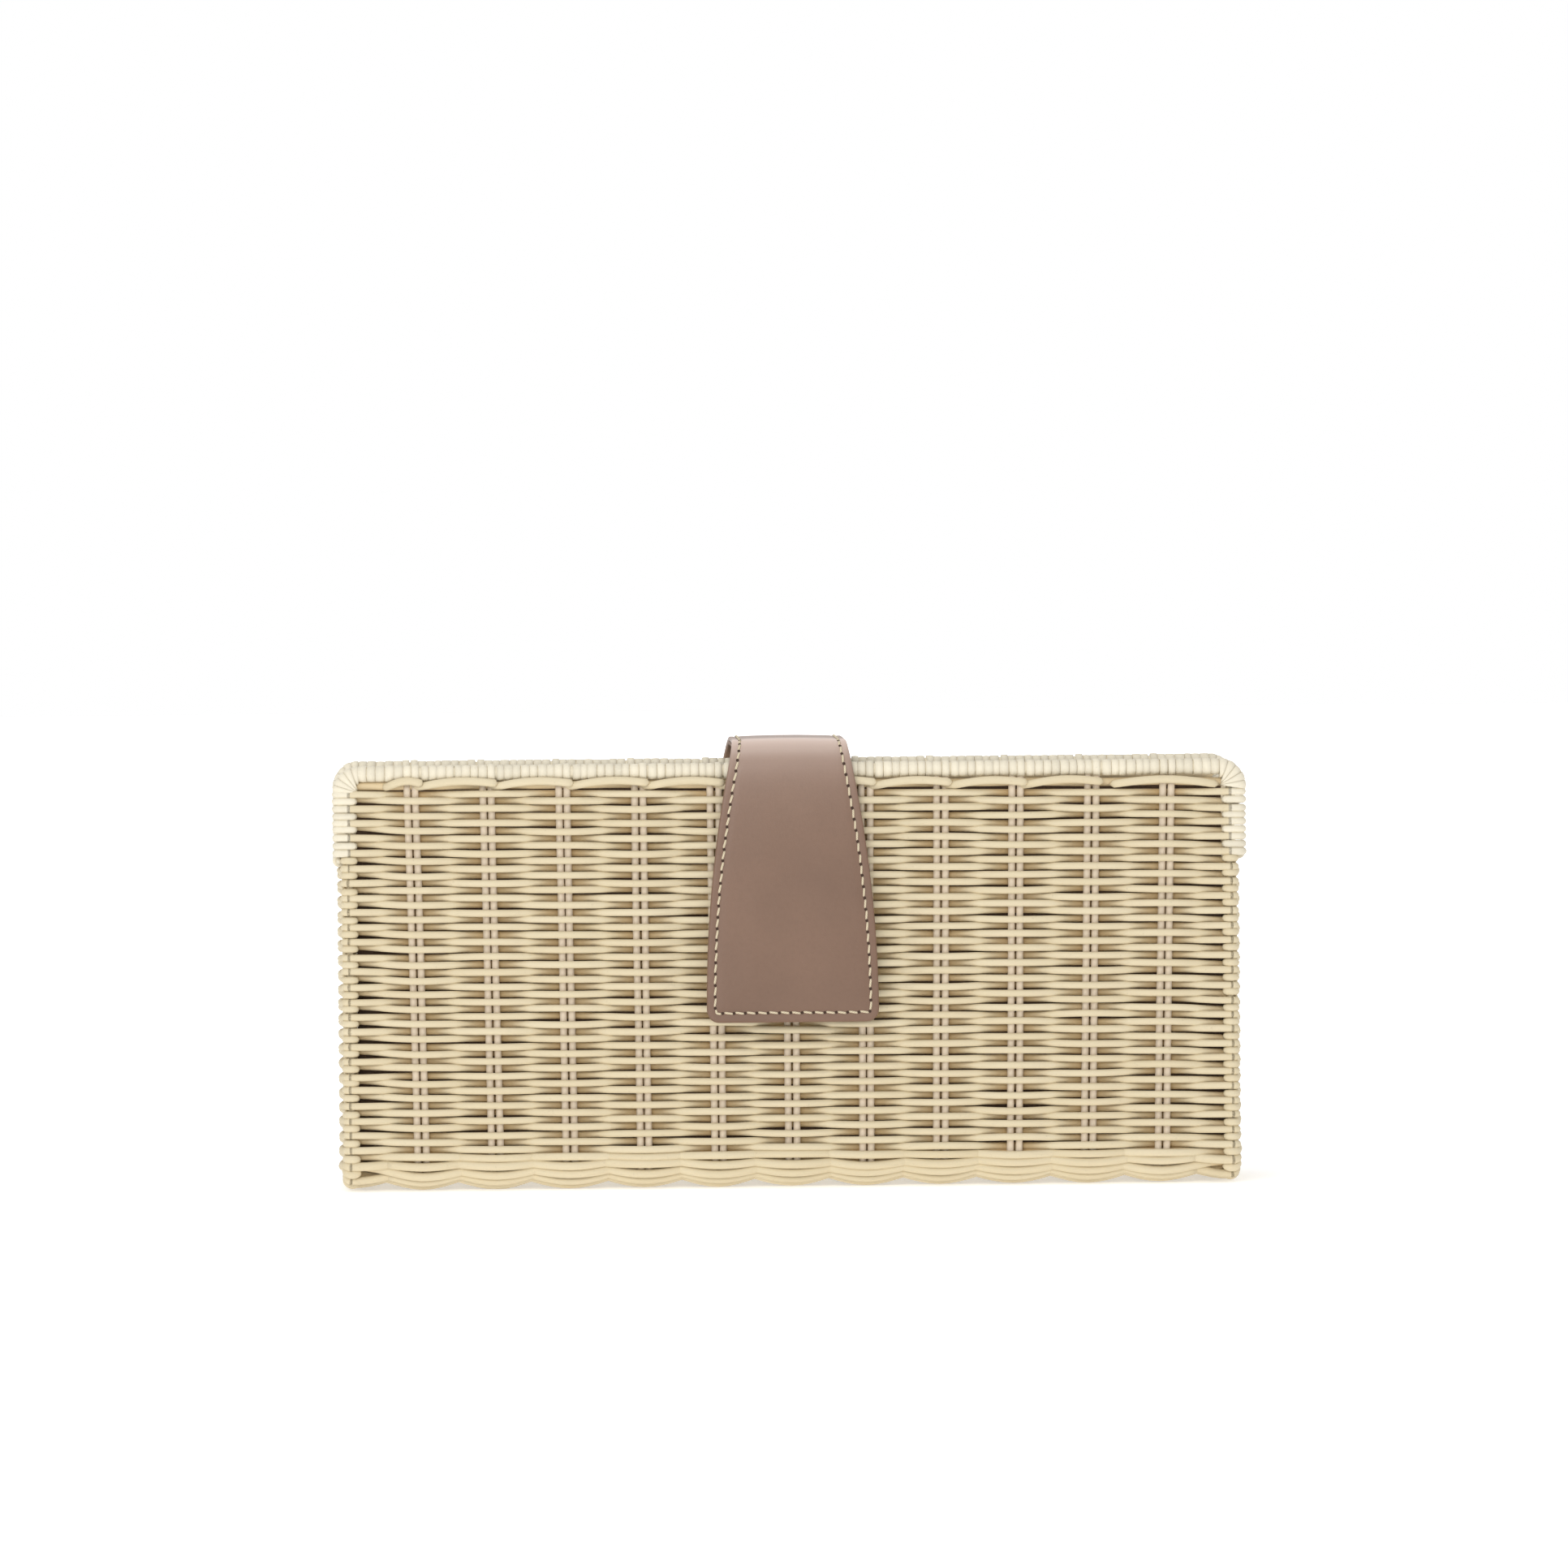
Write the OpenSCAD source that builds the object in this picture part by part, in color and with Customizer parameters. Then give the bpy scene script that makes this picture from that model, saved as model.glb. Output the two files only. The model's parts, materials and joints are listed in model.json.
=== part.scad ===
// Woven rattan clutch with a leather tab, standing on its base.
// Millimetres, +Z up, the front faces -Y, origin at the middle of the base on the table.

/* [Basket] */
// Overall width across the rims
body_w = 290; // [260:1:320]
// Height from the table to the top of the rims
body_h = 135; // [115:1:160]
// Depth over the weave at the base
base_d = 50; // [46:1:60]
// Depth over the weave at the rims
mouth_d = 44; // [40:1:50]
// Radius of the bend from each face into the base, at the middle of the wall
bend_r = 7; // [6:0.5:9]
// How far the side walls stop below the top of the rims
side_drop = 28; // [20:1:40]
// How far the weave of the side walls sits inside the overall width
side_inset = 0.9; // [0.4:0.1:1.6]

/* [Weave] */
// Number of stake pairs across each face
stake_count = 11; // [7:2:13]
// Diameter of one rod of a stake
stake_rod_d = 2.3; // [1.8:0.1:2.8]
// Diameter of a weaver, which is also the height of a row
weaver_d = 2.35; // [2:0.05:2.8]
// Distance from the edge of a face to its first stake
edge_bay = 25; // [24:0.5:32]
// How much narrower the row of stakes is at the base
base_narrowing = 5.5; // [0:0.5:8]
// Distance from the middle of each rim to the row that its border hides
first_row = 3.85; // [3.6:0.05:6]
// How much lower the rows lie at the right end of the front
row_drift = 1.9; // [0:0.1:3]
// Rows that stay flat under each rim, behind the turned-down border
border_rows = 1; // [1:1:4]
// Width of the open gaps beside the rails
gap_l = 7.5; // [4:0.5:9]
// Strip between those gaps and the rail
gap_strip = 1; // [1:0.1:3]

/* [Rims and rails] */
// Diameter of the wrapped rim
rim_d = 5.2; // [4.4:0.1:6.4]
// Outer radius of the rim's upper corners
corner_r = 8.5; // [7.5:0.5:12]
// Width of the wrapped legs below those corners
leg_w = 8.3; // [7.6:0.1:10]
// Diameter of the wrapped edge rails
rail_d = 5.8; // [4.8:0.1:6.4]
// Diameter of the border over each side wall
side_border_d = 4.2; // [3.4:0.1:5]
// Width of one turn of the cane round the rim
wrap_w = 2.8; // [2.2:0.1:3.6]
// Depth of the groove between two turns
groove = 0.35; // [0.2:0.05:0.6]
// Turns of cane in the fan round each corner
corner_turns = 6; // [4:1:8]
// Diameter of a turned-down border strand
strand_d = 2.5; // [1.8:0.1:2.6]
// Reach of a border strand past its stake
strand_end = 3.1; // [1.5:0.1:4]
// Reach of the last border strand past the last stake
strand_last = 16; // [8:0.5:16]
// Reach of the first border strand before the first stake
strand_first = 5.7; // [3:0.1:10]
// Space between one border strand and the next
strand_space = 0.4; // [0.2:0.1:2]
// How far a border strand dips at the end that it starts from, and at its other end
strand_dips = [0.8, 1.8];

/* [Lining] */
// Thickness of the lining
lining_t = 0.8; // [0.5:0.1:1.2]
// Space between the weave and the lining
lining_gap = 0.8; // [0.7:0.1:1]
// How far the lining stops below the middle of the rim
lining_drop = 4; // [3:0.5:10]

/* [Leather tab] */
// Height of the tab above the rims
tab_rise = 7; // [6:0.5:10]
// Height of the tab's face, from its top to its lower end
tab_len = 90; // [70:1:100]
// Width of the tab where it crosses the mouth
tab_top_w = 35; // [28:0.5:42]
// Width of the tab at its lower end
tab_end_w = 53.5; // [44:0.5:60]
// Radius of the tab's lower corners
tab_end_r = 4; // [2:0.5:8]
// Thickness of the outer leather
outer_t = 1.4; // [1:0.1:2]
// Thickness of the backing leather
backing_t = 1.2; // [0.8:0.1:1.6]
// Depth of the tab's bending line below the top of the rims
hinge_drop = 4; // [3:0.5:8]
// Length of the part that is sewn to the back
anchor_len = 55; // [35:1:80]
// Space between the leather and the weave
tab_gap = 0.5; // [0.4:0.1:0.8]

/* [Snap] */
// Diameter of the magnetic snap
snap_d = 16; // [12:0.5:20]
// Thickness of the socket half
socket_h = 2.2; // [2:0.1:3]
// Thickness of the stud half's plate
stud_h = 1.2; // [0.8:0.1:1.8]
// Diameter of the stud's nub
nub_d = 5; // [4:0.5:6]
// Height of the stud's nub
nub_h = 1.2; // [0.8:0.1:1.5]
// Height of the snap above the tab's lower end
snap_up = 18; // [14:1:26]
// Thickness of the washer that holds the socket
washer_t = 0.5; // [0.3:0.1:0.5]

/* [Hidden] */
cane = "#ddd2b0";
rod = "#d9c3a6";
wrap = "#e2d8ba";
hide = "#8c7166";
cloth = "#4a3a30";
metal = "#b59a62";
// Clearance that seats one piece on the next
seat = 0.3;
// Clearance between the socket and the weave's crests, and on each side of the washer
skin = 0.1;
// Play between the halves of the snap
snap_play = 0.75;
// Space at the bending line between the sewn part and the tab
anchor_gap = 2.2;
// Side room round the nub in its socket
nub_room = 1.2;
// Room under the nub in its socket
nub_under = 0.4;
// Length of a border strand's rounded end
strand_round = 0.8;
// Smallest inner radius of a turn in a bend
turn_in = 1.5;
// How far a straight wrapped stretch reaches into the bend that it meets
bite = 0.15;
round_fn = 48;

// Middle surface of the woven wall: out to a crest, and out to the face of a stake
crest = stake_rod_d / 2 + weaver_d;
low = stake_rod_d / 2;
half_mouth = mouth_d / 2 - crest;
half_base = base_d / 2 - crest;
rim_z = body_h - rim_d / 2;
bend_y = half_base - bend_r;
bend_z = crest + bend_r;
bend_reach = norm([half_mouth - bend_y, rim_z - bend_z]);
lean = asin(bend_r / bend_reach) - atan2(half_mouth - bend_y, rim_z - bend_z);
face_l = sqrt(bend_reach * bend_reach - bend_r * bend_r);
bend_l = bend_r * (90 + lean) * PI / 180;
half_path = face_l + bend_l + bend_y;

// Rows of the weave, from the front rim round the base to the back rim
wall_start = rim_d / 2 + seat;
rows = 2 * round((half_path - first_row) / weaver_d);
row_h = 2 * (half_path - first_row) / rows;
swing = (stake_rod_d + weaver_d) / 2;
stake_span = body_w - 2 * edge_bay;
bay = stake_span / (stake_count - 1);
edge_x = body_w / 2 - leg_w - seat;
gap_out_x = edge_x - gap_strip;
gap_in_x = gap_out_x - gap_l;
edge_xs = [edge_x, gap_out_x, gap_in_x];
cols = 3 * stake_count + 4;
last_col = cols - 1;
inner_cols = [0, 1, 2, last_col - 2, last_col - 1, last_col];

// Rails, legs and side walls
leg_end = side_drop - rim_d / 2;
rail_x = body_w / 2 - leg_w + rail_d / 2;
side_x = body_w / 2 - side_inset - crest;
side_border_z = body_h - side_drop - side_border_d / 2;
side_top = side_border_z - side_border_d / 2 - seat;
side_bottom = crest + rail_d / 2 + seat;
side_rows = round((side_top - side_bottom) / weaver_d);
side_cols = [-1, -0.5, 0, 0.5, 1];

// Tab: middle of the leather at the bending line, and the lean of its face
tab_t = outer_t + backing_t;
hinge_z = body_h - hinge_drop;
tab_z = body_h + tab_rise;
tab_end_z = tab_z - tab_len;
hinge_y = wall_y(hinge_z) + tab_gap + tab_t / 2;
arc_r = tab_z - tab_t / 2 - hinge_z;
arc_y = hinge_y - arc_r;
snap_h = socket_h + stud_h + snap_play;
snap_z = tab_end_z + snap_up;
drop_lean = lean + atan((snap_h - tab_gap) / (hinge_z - snap_z));
drop_y = -arc_y - arc_r * cos(drop_lean);
drop_z = hinge_z + arc_r * sin(drop_lean);
drop_l = (drop_z - tab_end_z) / cos(drop_lean);
snap_l = (drop_z - snap_z) / cos(drop_lean);

// Half depth over the crests of the weave at height z
function wall_y(z) = half_mouth + (rim_z - z) * tan(lean) + crest / cos(lean);

// Turn of the wall's outward normal, from -Y towards -Z, at distance s along the path
function path_turn(s) =
    s < face_l ? -lean
    : s < face_l + bend_l ? -lean + (s - face_l) / bend_r * 180 / PI
    : 90;

// Point of the middle surface in the YZ plane on the front half of the path
function front_point(s) =
    s < face_l ? [-half_mouth - s * sin(lean), rim_z - s * cos(lean)]
    : s < face_l + bend_l
        ? [-bend_y - bend_r * cos(path_turn(s)), bend_z - bend_r * sin(path_turn(s))]
    : [-bend_y + s - face_l - bend_l, crest];

// Point at distance s along the whole path, moved outwards by out
function front_offset(s, out) =
    front_point(s) - out * [cos(path_turn(s)), sin(path_turn(s))];
function path_point(s, out) =
    s <= half_path ? front_offset(s, out)
    : let (p = front_offset(2 * half_path - s, out)) [-p[0], p[1]];

// Columns of the woven wall: three at each edge, one at each stake, and one a quarter of
// a bay to each side of it. Column c stands at stake col_stake(c), which may be a fraction.
function at_edge(c) = c < 3 || c > last_col - 3;
function col_stake(c) = floor((c - 3) / 3) + [0, 0.25, 0.75][(c - 3) % 3];
function narrowing(z) = 1 - base_narrowing / stake_span * (1 - z / rim_z);
function col_x(c, z) =
    c < 3 ? -edge_xs[c]
    : c > last_col - 3 ? edge_xs[last_col - c]
    : (col_stake(c) - (stake_count - 1) / 2) * bay * narrowing(z);

// A row passes in front of every second stake, and the next row in front of the others.
// Between two stakes it swings from one side of the wall to the other.
function is_front(c, i) = (round(col_stake(c)) + i) % 2 == 0;
function col_out(c, i) =
    at_edge(c) || i <= border_rows || i >= rows - border_rows ? low
    : (c - 3) % 3 == 0 ? (is_front(c, i) ? crest : low)
    : weaver_d / 2 + (is_front(c, i) ? 1 : -1) * swing * cos(45);
function row_s(c, i) =
    i == 0 ? wall_start
    : i == rows ? 2 * half_path - wall_start
    : let (s = first_row + (i + (at_edge(c) ? 0.5 : 0)) * row_h)
        s + row_drift * min(1, max(0, 2 - 2 * s / half_path)) * (col_x(c, rim_z) / body_w + 0.5);
function outer_point(c, i) =
    let (p = path_point(row_s(c, i), col_out(c, i)))
    [col_x(c, p[1]), p[0], p[1]];
function inner_point(c, i) =
    let (p = path_point(row_s(c, i), -crest))
    [col_x(c, p[1]), p[0], p[1]];

// Open gaps beside the rails, one for every second row of the front and the back, where
// the row that passes in front of the last stake goes in behind the rail
function face_row(i) = i >= border_rows && first_row + (i + 2) * row_h + row_drift < face_l;
function gap_row(i) = i % 2 == 1 && (face_row(i) || face_row(rows - i - 2));
function is_gap(c, i) = (c == 1 || c == last_col - 2) && gap_row(i);

// Faces that close the wall along row i, between its outer and inner points
function strip_end(n, base, i) = concat(
    [for (k = [0, 1, 3, 4]) let (a = inner_cols[k] * n + i, p = base + k * n + i)
        [a + n, a, p, p + n]],
    [for (c = [2 : last_col - 3]) [(c + 1) * n + i, c * n + i, base + 2 * n + i]],
    [[(last_col - 2) * n + i, base + 2 * n + i, base + 3 * n + i]]);

// One closed wall: ridges outside, plain inside, and the gaps right through
module woven_wall() {
    n = rows + 1;
    base = cols * n;
    points = concat(
        [for (c = [0 : last_col]) for (i = [0 : rows]) outer_point(c, i)],
        [for (c = inner_cols) for (i = [0 : rows]) inner_point(c, i)]);
    outside = [
        for (c = [0 : last_col - 1]) for (i = [0 : rows - 1]) if (!is_gap(c, i))
        let (a = c * n + i, b = a + n, d = a + 1, e = b + 1)
        each (col_out(c, i) + col_out(c + 1, i + 1) > col_out(c + 1, i) + col_out(c, i + 1)
            ? [[a, b, d], [b, e, d]] : [[a, b, e], [a, e, d]])];
    inside = [
        for (k = [0 : 4]) for (i = [0 : rows - 1]) if (!is_gap(inner_cols[k], i))
        let (a = base + k * n + i, b = a + n, d = a + 1, e = b + 1)
        each [[a, d, e], [a, e, b]]];
    gap_walls = [
        for (k = [1, 3]) for (i = [0 : rows - 1]) if (gap_row(i))
        let (a = inner_cols[k] * n + i, b = a + n, d = a + 1, e = b + 1)
        let (p = base + k * n + i, q = p + n, r = p + 1, t = q + 1)
        each [[a, b, q, p], [b, e, t, q], [e, d, r, t], [d, a, p, r]]];
    left_edge = [
        for (i = [0 : rows - 1]) [i, i + 1, base + i + 1, base + i]];
    right_edge = [
        for (i = [0 : rows - 1])
        let (a = last_col * n + i, p = base + 5 * n + i)
        [a + 1, a, p, p + 1]];
    front_top = strip_end(n, base, 0);
    back_top = [for (f = strip_end(n, base, rows)) reversed(f)];
    polyhedron(points, concat(outside, inside, gap_walls, left_edge, right_edge,
        front_top, back_top), convexity = 10);
}

// Half depth of a side wall at height z, between the two legs of its rail
function side_half(z) =
    z < bend_z
        ? bend_y + sqrt(pow(bend_r - rail_d / 2, 2) - pow(bend_z - z, 2)) - seat
        : half_mouth + (rim_z - z) * tan(lean) - rail_d / 2 / cos(lean) - seat;
function side_z(j) = side_bottom + (side_top - side_bottom) * j / side_rows;
function side_crest(k, j) =
    k % 2 == 1 && j > 0 && j < side_rows && ((k - 1) / 2 + j) % 2 == 0;

// Side wall at +X: rows across two stakes, plain inside
module side_weave() {
    n = side_rows + 1;
    m = len(side_cols);
    points = concat(
        [for (k = [0 : m - 1]) for (j = [0 : side_rows])
            [side_x + (side_crest(k, j) ? crest : low),
            side_cols[k] * side_half(side_z(j)), side_z(j)]],
        [for (k = [0, m - 1]) for (j = [0 : side_rows])
            [side_x - crest, side_cols[k] * side_half(side_z(j)), side_z(j)]]);
    outside = [
        for (k = [0 : m - 2]) for (j = [0 : side_rows - 1])
        let (a = k * n + j, b = a + n, d = a + 1, e = b + 1)
        each (side_crest(k, j) || side_crest(k + 1, j + 1)
            ? [[a, d, b], [b, d, e]] : [[a, e, b], [a, d, e]])];
    p = m * n;
    inside = [
        for (j = [0 : side_rows - 1])
        let (a = p + j, b = a + n) each [[a, b, a + 1], [b, b + 1, a + 1]]];
    edges = [
        for (j = [0 : side_rows - 1])
        let (a = (m - 1) * n + j)
        each [[j, p + j, p + j + 1, j + 1], [a, a + 1, p + n + j + 1, p + n + j]]];
    top = [
        each [for (k = [0 : m - 2]) [(k + 1) * n, k * n, p] + [1, 1, 1] * side_rows],
        [(m - 1) * n, p, p + n] + [1, 1, 1] * side_rows];
    bottom = [
        each [for (k = [0 : m - 2]) [k * n, (k + 1) * n, p]],
        [(m - 1) * n, p + n, p]];
    polyhedron(points, concat(outside, inside, edges, top, bottom), convexity = 6);
}

// Rod along +Z wrapped in cane, as one turned profile with a groove between turns.
// It starts and ends on a turn, and its ends reach bite into the bends that they meet.
module wrapped_rod(length, d, turn_w, bite = 0) {
    turns = round(length / turn_w);
    w = length / turns;
    r = d / 2;
    grooves = [
        for (i = [1 : turns - 1])
        each [[r, (i - 0.2) * w], [r - groove, i * w], [r, (i + 0.2) * w]]];
    rotate_extrude($fn = round_fn)
        polygon(concat([[0, -bite], [r, -bite]], grooves,
            [[r, length + bite], [0, length + bite]]));
}

// Wrapped bend of centre-line radius bend, from +X round +Z, with a section w wide.
// Its turns stay turn_in away from the middle of the bend.
module wrapped_bend(bend, w, d, angle, turns) {
    step = angle / turns;
    inner = max(turn_in, bend - w / 2);
    outer = bend + w / 2;
    rotate_extrude(angle = angle, $fn = round_fn)
        translate([bend, 0]) pill(w - 2 * groove, d - 2 * groove);
    for (i = [0 : turns - 1])
        rotate([0, 0, (i + 0.2) * step])
            rotate_extrude(angle = 0.6 * step, $fn = round_fn)
                translate([(inner + outer) / 2, 0]) pill(outer - inner, d);
}

// Flat-sided section of a leg, w wide over its round ends, or a round one where w is d
module pill(w, d) {
    if (w > d + 0.01) square([w - d, d], center = true);
    for (s = [-1, 1]) translate([s * (w - d) / 2, 0]) circle(d = d, $fn = round_fn);
}

// Leg below a corner of the rim: one wrap round the rim rod and the edge rod together
module wrapped_leg(length, bite) {
    turns = round(length / row_h);
    w = length / turns;
    linear_extrude(length) pill(leg_w - 2 * groove, rim_d - 2 * groove);
    for (i = [0 : turns - 1])
        translate([0, 0, (i + 0.2) * w])
            linear_extrude(i == turns - 1 ? 0.8 * w + bite : 0.6 * w) pill(leg_w, rim_d);
}

// Everything given in the front wall's own frame: origin at the middle of the rim,
// -Z down the wall and -Y outwards
module on_front_wall() {
    translate([0, -half_mouth, rim_z]) rotate([-lean, 0, 0]) children();
}

// Rim with its two corners and legs, in the front wall's frame
module rim() {
    corner = corner_r - rim_d / 2;
    bar = body_w - 2 * corner_r;
    translate([-bar / 2, 0, 0]) rotate([0, 90, 0]) wrapped_rod(bar, rim_d, wrap_w, bite);
    for (m = [0, 1]) mirror([m, 0, 0]) {
        translate([bar / 2, 0, -corner]) rotate([90, 0, 0])
            wrapped_bend(corner_r - leg_w / 2, leg_w, rim_d, 90, corner_turns);
        translate([body_w / 2 - leg_w / 2, 0, -leg_end]) wrapped_leg(leg_end - corner, bite);
    }
}

// Edge rail at +X: down the front, under the base and up the back
module rail() {
    translate([rail_x, 0, 0]) {
        for (m = [0, 1]) mirror([0, m, 0]) {
            on_front_wall() translate([0, 0, -face_l])
                wrapped_rod(face_l - leg_end - seat, rail_d, row_h, bite);
            translate([0, -bend_y, bend_z]) rotate([0, 90, 180])
                wrapped_bend(bend_r, rail_d, rail_d, 90 + lean, max(2, round(bend_l / row_h)));
        }
        translate([0, -bend_y, crest]) rotate([-90, 0, 0])
            wrapped_rod(2 * bend_y, rail_d, row_h, bite);
    }
}

// Border over the side wall at +X
module side_border() {
    reach = side_half(side_border_z);
    translate([body_w / 2 - side_border_d / 2, -reach, side_border_z]) rotate([-90, 0, 0])
        wrapped_rod(2 * reach, side_border_d, wrap_w);
}

// One turned-down stake end: from its round end at x it bows up along the rim towards -X,
// then slopes down. Each station is its distance along, its share of the radius and its
// height. The last strand dips equally at both ends.
module border_strand(x, length, out, level, dips) {
    stations = [[0, 0.5, level - dips[0]], [strand_round, 1, level - dips[0]],
        [0.4 * length, 1, level], [length - strand_round, 1, level - dips[1]],
        [length, 0.5, level - dips[1]]];
    sides = 8;
    points = [
        for (s = stations) for (j = [0 : sides - 1])
        let (t = 360 * j / sides, r = s[1] * strand_d / 2)
        [x - s[0], out + r * cos(t), s[2] + r * sin(t)]];
    bands = [
        for (i = [0 : len(stations) - 2]) for (j = [0 : sides - 1])
        let (a = i * sides + j, b = i * sides + (j + 1) % sides)
        [a, b, b + sides, a + sides]];
    first_cap = [for (j = [sides - 1 : -1 : 0]) j];
    last_cap = [for (j = [0 : sides - 1]) (len(stations) - 1) * sides + j];
    polyhedron(points, concat(bands, [first_cap, last_cap]), convexity = 4);
}

// A strand at every stake, in the front wall's frame. Each one runs on to the stake before
// it; the first is short, and the last starts past its stake, at the rail.
module border_strands() {
    out = low + skin + strand_d / 2;
    level = -sqrt(pow((rim_d + strand_d) / 2 + skin, 2) - out * out);
    last = stake_count - 1;
    full = bay - strand_space;
    for (k = [0 : last]) {
        stake = (k - last / 2) * bay;
        end = k == last ? strand_last : strand_end;
        length = k == 0 ? strand_first + strand_end : full + end - strand_end;
        dips = k == last ? [strand_dips[1], strand_dips[1]] : strand_dips;
        border_strand(stake + end, length, -out, level, dips);
    }
}

// Section of the case's inside in the YZ plane, off inside the middle surface
function case_section(off) =
    let (start = rim_d / 2 + lining_drop, steps = 6)
    let (half = concat([start],
        [for (i = [0 : steps]) face_l + 0.001 + (bend_l - 0.002) * i / steps]))
    concat([for (s = half) path_point(s, -off)],
        [for (i = [steps + 1 : -1 : 0]) path_point(2 * half_path - half[i], -off)]);

// Extrusion along X, centred, of a section given in the YZ plane
module along_x(length) {
    rotate([90, 0, 90]) translate([0, 0, -length / 2]) linear_extrude(length) children();
}

module case_lining() {
    off = crest + lining_gap;
    outer_l = 2 * (side_x - off);
    inner_l = outer_l - 2 * lining_t;
    dip_z = side_top - lining_t;
    difference() {
        along_x(outer_l) polygon(case_section(off));
        along_x(inner_l) {
            polygon(case_section(off + lining_t));
            open_top(off + lining_t, body_h / 2);
        }
        along_x(outer_l + 2) open_top(off + lining_t, dip_z);
    }
}

// Region between the lined faces from height z up through the mouth
module open_top(off, z) {
    y_low = wall_y(z) - (crest + off) / cos(lean);
    y_top = wall_y(body_h) - (crest + off) / cos(lean);
    polygon([[-y_low, z], [y_low, z], [y_top, body_h], [-y_top, body_h]]);
}

// Line of the tab off outside the middle of its leather: over the mouth, down the front
function tab_line(off, steps = 8) = concat(
    [for (i = [0 : steps]) [arc_y, hinge_z]
        + (arc_r + off) * [cos(90 * i / steps), sin(90 * i / steps)]],
    [for (i = [0 : steps]) let (t = 90 + (90 - drop_lean) * i / steps)
        [-arc_y, hinge_z] + (arc_r + off) * [cos(t), sin(t)]],
    [[drop_y, drop_z] + off * [-cos(drop_lean), sin(drop_lean)]
        - (drop_l + tab_t) * [sin(drop_lean), cos(drop_lean)]]);
function reversed(list) = [for (i = [len(list) - 1 : -1 : 0]) list[i]];

// Width of the tab at height z: narrow over the mouth, flaring in a long curve
function tab_width(z) =
    let (u = min(1, max(0, (tab_z - z) / (tab_len - tab_end_r))))
    tab_end_w - (tab_end_w - tab_top_w) * pow(1 - u, 2);

// Front outline of the tab in the XZ plane, with round lower corners
function tab_side(steps = 12) = concat(
    [for (i = [0 : steps]) let (z = tab_z + 1 - (tab_len + 1 - tab_end_r) * i / steps)
        [tab_width(z) / 2, z]],
    [for (i = [1 : 6]) let (t = 90 * i / 6)
        [tab_end_w / 2 - tab_end_r * (1 - cos(t)), tab_end_z + tab_end_r * (1 - sin(t))]]);
function mirrored(list) = [for (p = reversed(list)) [-p[0], p[1]]];

// Layer of the tab between the offsets inner and outer from the middle of the leather
module tab_layer(inner, outer) {
    depth = base_d + mouth_d;
    intersection() {
        along_x(tab_end_w + 2)
            polygon(concat(tab_line(outer), reversed(tab_line(inner))));
        translate([0, depth / 2, 0]) rotate([90, 0, 0]) linear_extrude(depth)
            polygon(concat(tab_side(), mirrored(tab_side())));
    }
}

// Layer of the sewn part on the back wall, in the back wall's frame
module anchor_layer(inner, outer) {
    w = tab_width(hinge_z);
    span = anchor_len - anchor_gap;
    translate([0, hinge_y, hinge_z]) rotate([lean, 0, 0])
        translate([0, outer, -anchor_gap]) rotate([90, 0, 0]) linear_extrude(outer - inner)
            difference() {
                translate([-w / 2, -span]) square([w, span]);
                for (s = [-1, 1]) translate([s * w / 2, -span]) difference() {
                    square(2 * tab_end_r, center = true);
                    translate([-s * tab_end_r, tab_end_r])
                        circle(r = tab_end_r, $fn = round_fn);
                }
            }
}

module woven_body() { color(cane) woven_wall(); }
module left_side_wall() { color(cane) mirror([1, 0, 0]) side_weave(); }
module right_side_wall() { color(cane) side_weave(); }
module front_rim() { color(wrap) on_front_wall() rim(); }
module back_rim() { color(wrap) mirror([0, 1, 0]) on_front_wall() rim(); }
module left_rail() { color(wrap) mirror([1, 0, 0]) rail(); }
module right_rail() { color(wrap) rail(); }
module left_side_border() { color(wrap) mirror([1, 0, 0]) side_border(); }
module right_side_border() { color(wrap) side_border(); }
module front_border_strands() { color(rod) on_front_wall() border_strands(); }
module back_border_strands() { color(rod) rotate([0, 0, 180]) on_front_wall() border_strands(); }
module lining() { color(cloth) case_lining(); }
module anchor_leather() { color(hide) anchor_layer(backing_t - tab_t / 2, tab_t / 2); }
module anchor_backing() { color(hide) anchor_layer(-tab_t / 2, backing_t - tab_t / 2); }
module tab_leather() { color(hide) tab_layer(backing_t - tab_t / 2, tab_t / 2); }
module tab_backing() { color(hide) tab_layer(-tab_t / 2, backing_t - tab_t / 2); }

// Socket half of the snap, on the weave of the front wall
module snap_socket() {
    color(metal) on_front_wall()
        translate([0, -crest - skin, -(rim_z - snap_z) / cos(lean)]) rotate([90, 0, 0])
            difference() {
                cylinder(d = snap_d, h = socket_h, $fn = round_fn);
                translate([0, 0, socket_h - nub_h - nub_under])
                    cylinder(r = nub_d / 2 + nub_room, h = socket_h, $fn = round_fn);
            }
}

// Washer behind the front wall, under the lining
module snap_washer() {
    color(metal) on_front_wall()
        translate([0, crest + skin, -(rim_z - snap_z) / cos(lean)]) rotate([-90, 0, 0])
            difference() {
                cylinder(d = snap_d, h = washer_t, $fn = round_fn);
                translate([0, 0, -1]) cylinder(d = nub_d, h = washer_t + 2, $fn = round_fn);
            }
}

// Stud half of the snap, on the backing of the tab
module snap_stud() {
    color(metal) translate([0, drop_y, drop_z]) rotate([-drop_lean, 0, 0])
        translate([0, tab_t / 2, -snap_l]) rotate([-90, 0, 0]) {
            cylinder(d = snap_d, h = stud_h, $fn = round_fn);
            cylinder(d = nub_d, h = stud_h + nub_h, $fn = round_fn);
        }
}

woven_body();
left_side_wall();
right_side_wall();
front_rim();
back_rim();
left_rail();
right_rail();
left_side_border();
right_side_border();
front_border_strands();
back_border_strands();
lining();
anchor_leather();
anchor_backing();
snap_socket();
snap_washer();
tab_leather();
tab_backing();
snap_stud();
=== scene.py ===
"""Woven rattan clutch: strands, windings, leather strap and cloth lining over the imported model."""

import json
import math

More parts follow.
